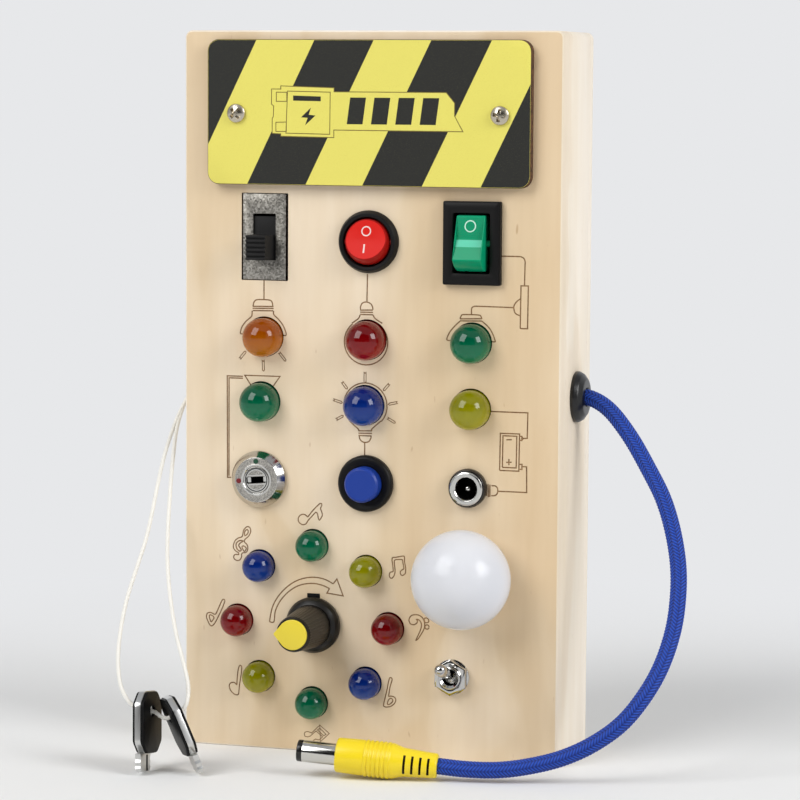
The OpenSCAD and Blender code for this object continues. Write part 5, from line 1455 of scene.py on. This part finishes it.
# %% Knob
FLUTES, KNOB_SIDES = 40, 240
CONE_LOW, CONE_HIGH, CONE_FOOT, CONE_RISE = 5.55, 4.5, 3.6, 13.3
at = on_face(*DIAL)
profile = rounded([(0, 0.4, 0), (7.2, 0.4, 0.1), (7.2, 1.6, 0.3), (6.6, 2.6, 0.5), (5.6, 3.5, 0.3)], 3)
loops = [circle(max(r, AXIS), h, KNOB_SIDES) for r, h in profile]
for h in [3.9 + 12.2 * k / 8 for k in range(9)] + [16.35, 16.6]:
    r = CONE_LOW + (CONE_HIGH - CONE_LOW) * (h - CONE_FOOT) / CONE_RISE
    depth = 0.09 if 3.9 < h < 16.3 else 0.02
    r -= 0.12 if h > 16.4 else 0
    ring = []
    for k in range(KNOB_SIDES):
        a = 2 * math.pi * k / KNOB_SIDES
        reach = r - depth * (0.5 - 0.5 * math.cos(FLUTES * a)) ** 2
        ring.append((reach * math.cos(a), reach * math.sin(a), h))
    loops.append(ring)
loops += [circle(r, h, KNOB_SIDES) for r, h in ((4.3, 16.85), (4.15, 16.9), (AXIS, 16.9))]
hang(build("knob_fluted", [loft(loops, at)], [phenolic], angle=40), ["knob_body"], "dial")
pointer = arc(0, 0, 3.85, -139, 139, 56) + arc(-4.437, 0, 0.5, 139, 221, 8)[1:-1]
pointer_piece = inlay(skirt_of(pointer, 17.5, 16.9, 0.18), (), (), at)
pointer_piece = build("knob_pointer_moulded", pointer_piece, [yellow_cap])
hang(pointer_piece, ["knob_pointer"], "dial")

# %% [markdown]
# ## The toggle
# Everything here is plated: a threaded bushing, the hex nut that clamps it, and a bat lever.

# %% Toggle
THREADS, THREAD_PITCH = 14, 0.5
LEVER_PIVOT, LEVER_TILT = 0.5, 19
at = on_face(*TOGGLE)
bushing = [(1.95, -5), (2.95, -5)]
for k in range(THREADS):
    z = -4.6 + THREAD_PITCH * k
    bushing += [(2.95, z), (2.78, z + THREAD_PITCH / 2)]
bushing += [(2.95, 2.6), (2.8, 2.95), (2.7, 3.0), (2.5, 3.0), (1.95, 2.5)]
bushing_piece = build("toggle_bushing_threaded", [lathe(bushing, at, ring=True)], [chrome])
hang(bushing_piece, ["toggle_bushing"])
hang(softened("toggle_nut", "toggle_nut_milled", 0.14, chrome), ["toggle_nut"])
place = on_face(*TOGGLE, LEVER_PIVOT, LEVER_TILT)
ball = [(0.9, -1.67), (1.34, -1.34), (1.7, -0.84), (1.88, -0.3), (1.88, 0.3), (1.7, 0.84), (1.34, 1.34)]
stick = [(0.95, 1.65), (0.85, 1.9), (0.85, 3.4), (0.9, 3.7), (1.45, 6.3), (1.5, 6.7)]
lever = [(0, -8), (0.45, -8), (0.45, -1.85)] + ball + stick + arc(0, 10.7, 1.5, 0, 90, 8)
lever_piece = build("toggle_lever_turned", [lathe(lever, place, sides=48)], [chrome], angle=50)
hang(lever_piece, ["toggle_lever"], "lever")

# %% [markdown]
# ## Lamps
# Every lamp is the same shape in two sizes: a flange behind the wood, a straight body and a dome.


# %% Lamps
def lamp(spot, diameter, tip):
    r = diameter / 2
    profile = [(0, -6), (r + 0.5, -6), (r + 0.5, -5), (r, -5)] + arc(0, tip - r, r, 0, 90, 16)
    return lathe(profile, on_face(*spot), sides=80)


for colours, diameter, tip, prefix in ((lamp_spots, 10, 7, "led_"), (ring_spots, 8, 5.8, "ring_led_")):
    for colour, spots in colours.items():
        lamps = [lamp(spot, diameter, tip) for spot in spots]
        lamps = build(prefix + colour + "_cast", lamps, [epoxies[colour]], angle=60)
        hang(lamps, [prefix + colour])

# %% [markdown]
# ## The globe and the grommet
# The globe is a thin blown shell, open at the neck that sits in the wood. The grommet is a rubber
# ring with a groove: it lines the hole in the right wall, so that the cord doesn't rub on the wood.

# %% Globe
GLOBE_RADIUS, GLOBE_WALL, GLOBE_MIDDLE = 12.55, 1.2, 8.5
skins = []
for r, foot in ((GLOBE_RADIUS, -8.2), (GLOBE_RADIUS - GLOBE_WALL, -7.74)):
    skins.append(arc(0, GLOBE_MIDDLE, r, math.degrees(math.asin(foot / r)), 90, 48))
outside, inside = skins
globe = lathe([(8.3, -5), (9.5, -5)] + outside + inside[::-1], on_face(*GLOBE), sides=128, ring=True)
hang(build("globe_blown", [globe], [opal], angle=60), ["globe_diffuser"])

# %% Grommet
right_wall = Matrix(((0, 0, 1, WIDTH / 2), (1, 0, 0, 1), (0, 1, 0, 92.8), (0, 0, 0, 1)))
grommet = rounded([
    (2.3, -5.2, 0), (4.4, -5.2, 0), (4.4, -4.2, 0), (4.3, 0.0, 0), (6.5, 0.0, 0), (6.5, 0.8, 0.5),
    (5.9, 1.9, 0.9), (4.6, 2.85, 0.9), (2.3, 3, 0.5)])
grommet_piece = build("cord_grommet_moulded", [lathe(grommet, right_wall, ring=True)], [rubber])
hang(grommet_piece, ["cord_grommet"])

# %% [markdown]
# ## What stays hidden
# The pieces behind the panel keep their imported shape, and only take the finish of their material.

# %% Finishes for the pieces inside
inside_finish = {
    "zinc_steel": nickel, "dull_steel": zinc, "black_plastic": satin_black, "black_rubber": rubber,
    # Printed foil shrunk round the cell: an even dark green with a soft shine.
    "cell_jacket": plastic("printed cell jacket", "2F3A36", 0.35),
    # Pressed paper and resin: brown and slightly waxy.
    "brown_laminate": plastic("phenolic paper laminate", "7A4A28", 0.45),
    # Screen-printed mask on the lamp's board: a flat white.
    "board_white": plastic("white solder mask", "E4E3D8", 0.4),
    # Extruded vinyl: an even red with a soft line of light.
    "wire_red": plastic("red PVC insulation", "B3241C", 0.4),
}
dressed_nodes = 0
for part in frame["record"]["subparts"]:
    node = frame["nodes"][part["node"]]
    if not node.hide_render and part["material_slot"] in inside_finish:
        node.data.materials.clear()
        node.data.materials.append(inside_finish[part["material_slot"]])
        dressed_nodes += 1
print(dressed_nodes, "packed pieces dressed")

# %% [markdown]
# ## Floor and light
# A pale sweep stands for the table and the wall behind. Its paper fades to an even glow away from
# the board, so the backdrop has no edge. A dark card in front, which only reflections show, gives the
# plated parts their dark bands. One large softbox high on the left makes the shapes, a smaller one on
# the right puts a second glint on every dome, and a pale room keeps the shadows open.

# %% Paper
# Matt coated paper: pale, without shine. The glow shows only to the camera, in mirrors and through glass.
paper, tree, shader = finish("pale matt paper", "E9E9E8", 0.8, Specular_IOR_Level=0.1)
rays_seen = add(tree, "ShaderNodeLightPath").outputs
seen = {0: rays_seen["Is Camera Ray"], 1: rays_seen["Is Glossy Ray"]}
seen = add(tree, "ShaderNodeMath", seen, operation="MAXIMUM")
seen = add(tree, "ShaderNodeMath", {0: seen, 1: rays_seen["Is Transmission Ray"]}, operation="MAXIMUM")
surface = add(tree, "ShaderNodeTexCoord").outputs["Object"]
reach = add(tree, "ShaderNodeVectorMath", {0: surface}, operation="LENGTH").outputs["Value"]
fade = {"Value": reach, "From Min": 0.1, "From Max": 0.3}  # metres from the board's lower middle
fade = add(tree, "ShaderNodeMapRange", fade, interpolation_type="SMOOTHSTEP")
amount = add(tree, "ShaderNodeMath", {0: fade, 1: seen}, operation="MULTIPLY")
glow = add(tree, "ShaderNodeEmission", {"Color": lin("E7E8EA"), "Strength": 1.0})
mixed = add(tree, "ShaderNodeMixShader", {0: amount, 1: shader, 2: glow})
fill(tree, tree.nodes["Material Output"], {"Surface": mixed})
print("backdrop", paper.name)


# %% Floor and dark card
def stage_sheet(name, points, faces, material):
    """Part of the studio, in metres."""
    mesh = bpy.data.meshes.new(name)
    mesh.from_pydata(points, [], faces)
    mesh.materials.append(material)
    mesh.shade_smooth()
    sheet = in_scene(name, mesh)
    return sheet


NEAR, WALL, TOP, BEND, SIDE = -2.5, 1.6, 3.0, 0.6, 4  # metres
profile = [(NEAR, 0.0)] + arc(WALL, BEND, BEND, -90, 0, 16) + [(WALL + BEND, TOP)]
points = [(x, y, z) for y, z in profile for x in (-SIDE, SIDE)]
strips = [(k, k + 1, k + 3, k + 2) for k in range(0, 2 * len(profile) - 2, 2)]
stage_sheet("floor_sweep", points, strips, paper)
# Flocked card swallows light: it shows only as a dark reflection.
flock = finish("black flock card", "0A0A0A", 0.9, Specular_IOR_Level=0.1)[0]
corners = [(-2.5, -2.45, 0.02), (2.5, -2.45, 0.02), (2.5, -2.45, 2.5), (-2.5, -2.45, 2.5)]
stage_sheet("black_card", corners, [(0, 1, 2, 3)], flock).visible_camera = False
print("sweep of", len(strips), "strips")

# %% Lights
middle = Vector((0, 0, 0.09))


def softbox(name, around, up, distance, width, height, power):
    """A rectangular light aimed at the board; around is degrees from the front toward the right."""
    a, b = math.radians(around), math.radians(up)
    away = Vector((math.sin(a) * math.cos(b), -math.cos(a) * math.cos(b), math.sin(b)))
    light = bpy.data.lights.new(name, "AREA")
    light.shape, light.size, light.size_y, light.energy = "RECTANGLE", width, height, power
    box = in_scene(name, light)
    box.location = middle + away * distance
    box.rotation_euler = (-away).to_track_quat("-Z", "Y").to_euler()
    print(name, "light", power, "W")


softbox("key", -33, 37, 2.0, 1.15, 1.45, 26.5)
softbox("side", 72, 27, 2.0, 0.86, 1.0, 21.5)
world = bpy.data.worlds.new("room")
world.use_nodes = True
room = world.node_tree
direct = add(room, "ShaderNodeLightPath").outputs["Is Camera Ray"]
level = add(room, "ShaderNodeMapRange", {"Value": direct, "To Min": 0.56, "To Max": 1.0})
fill(room, room.nodes["Background"], {"Color": lin("E8EAEE"), "Strength": level})
bpy.context.scene.world = world
bpy.context.scene.view_settings.view_transform = "Standard"
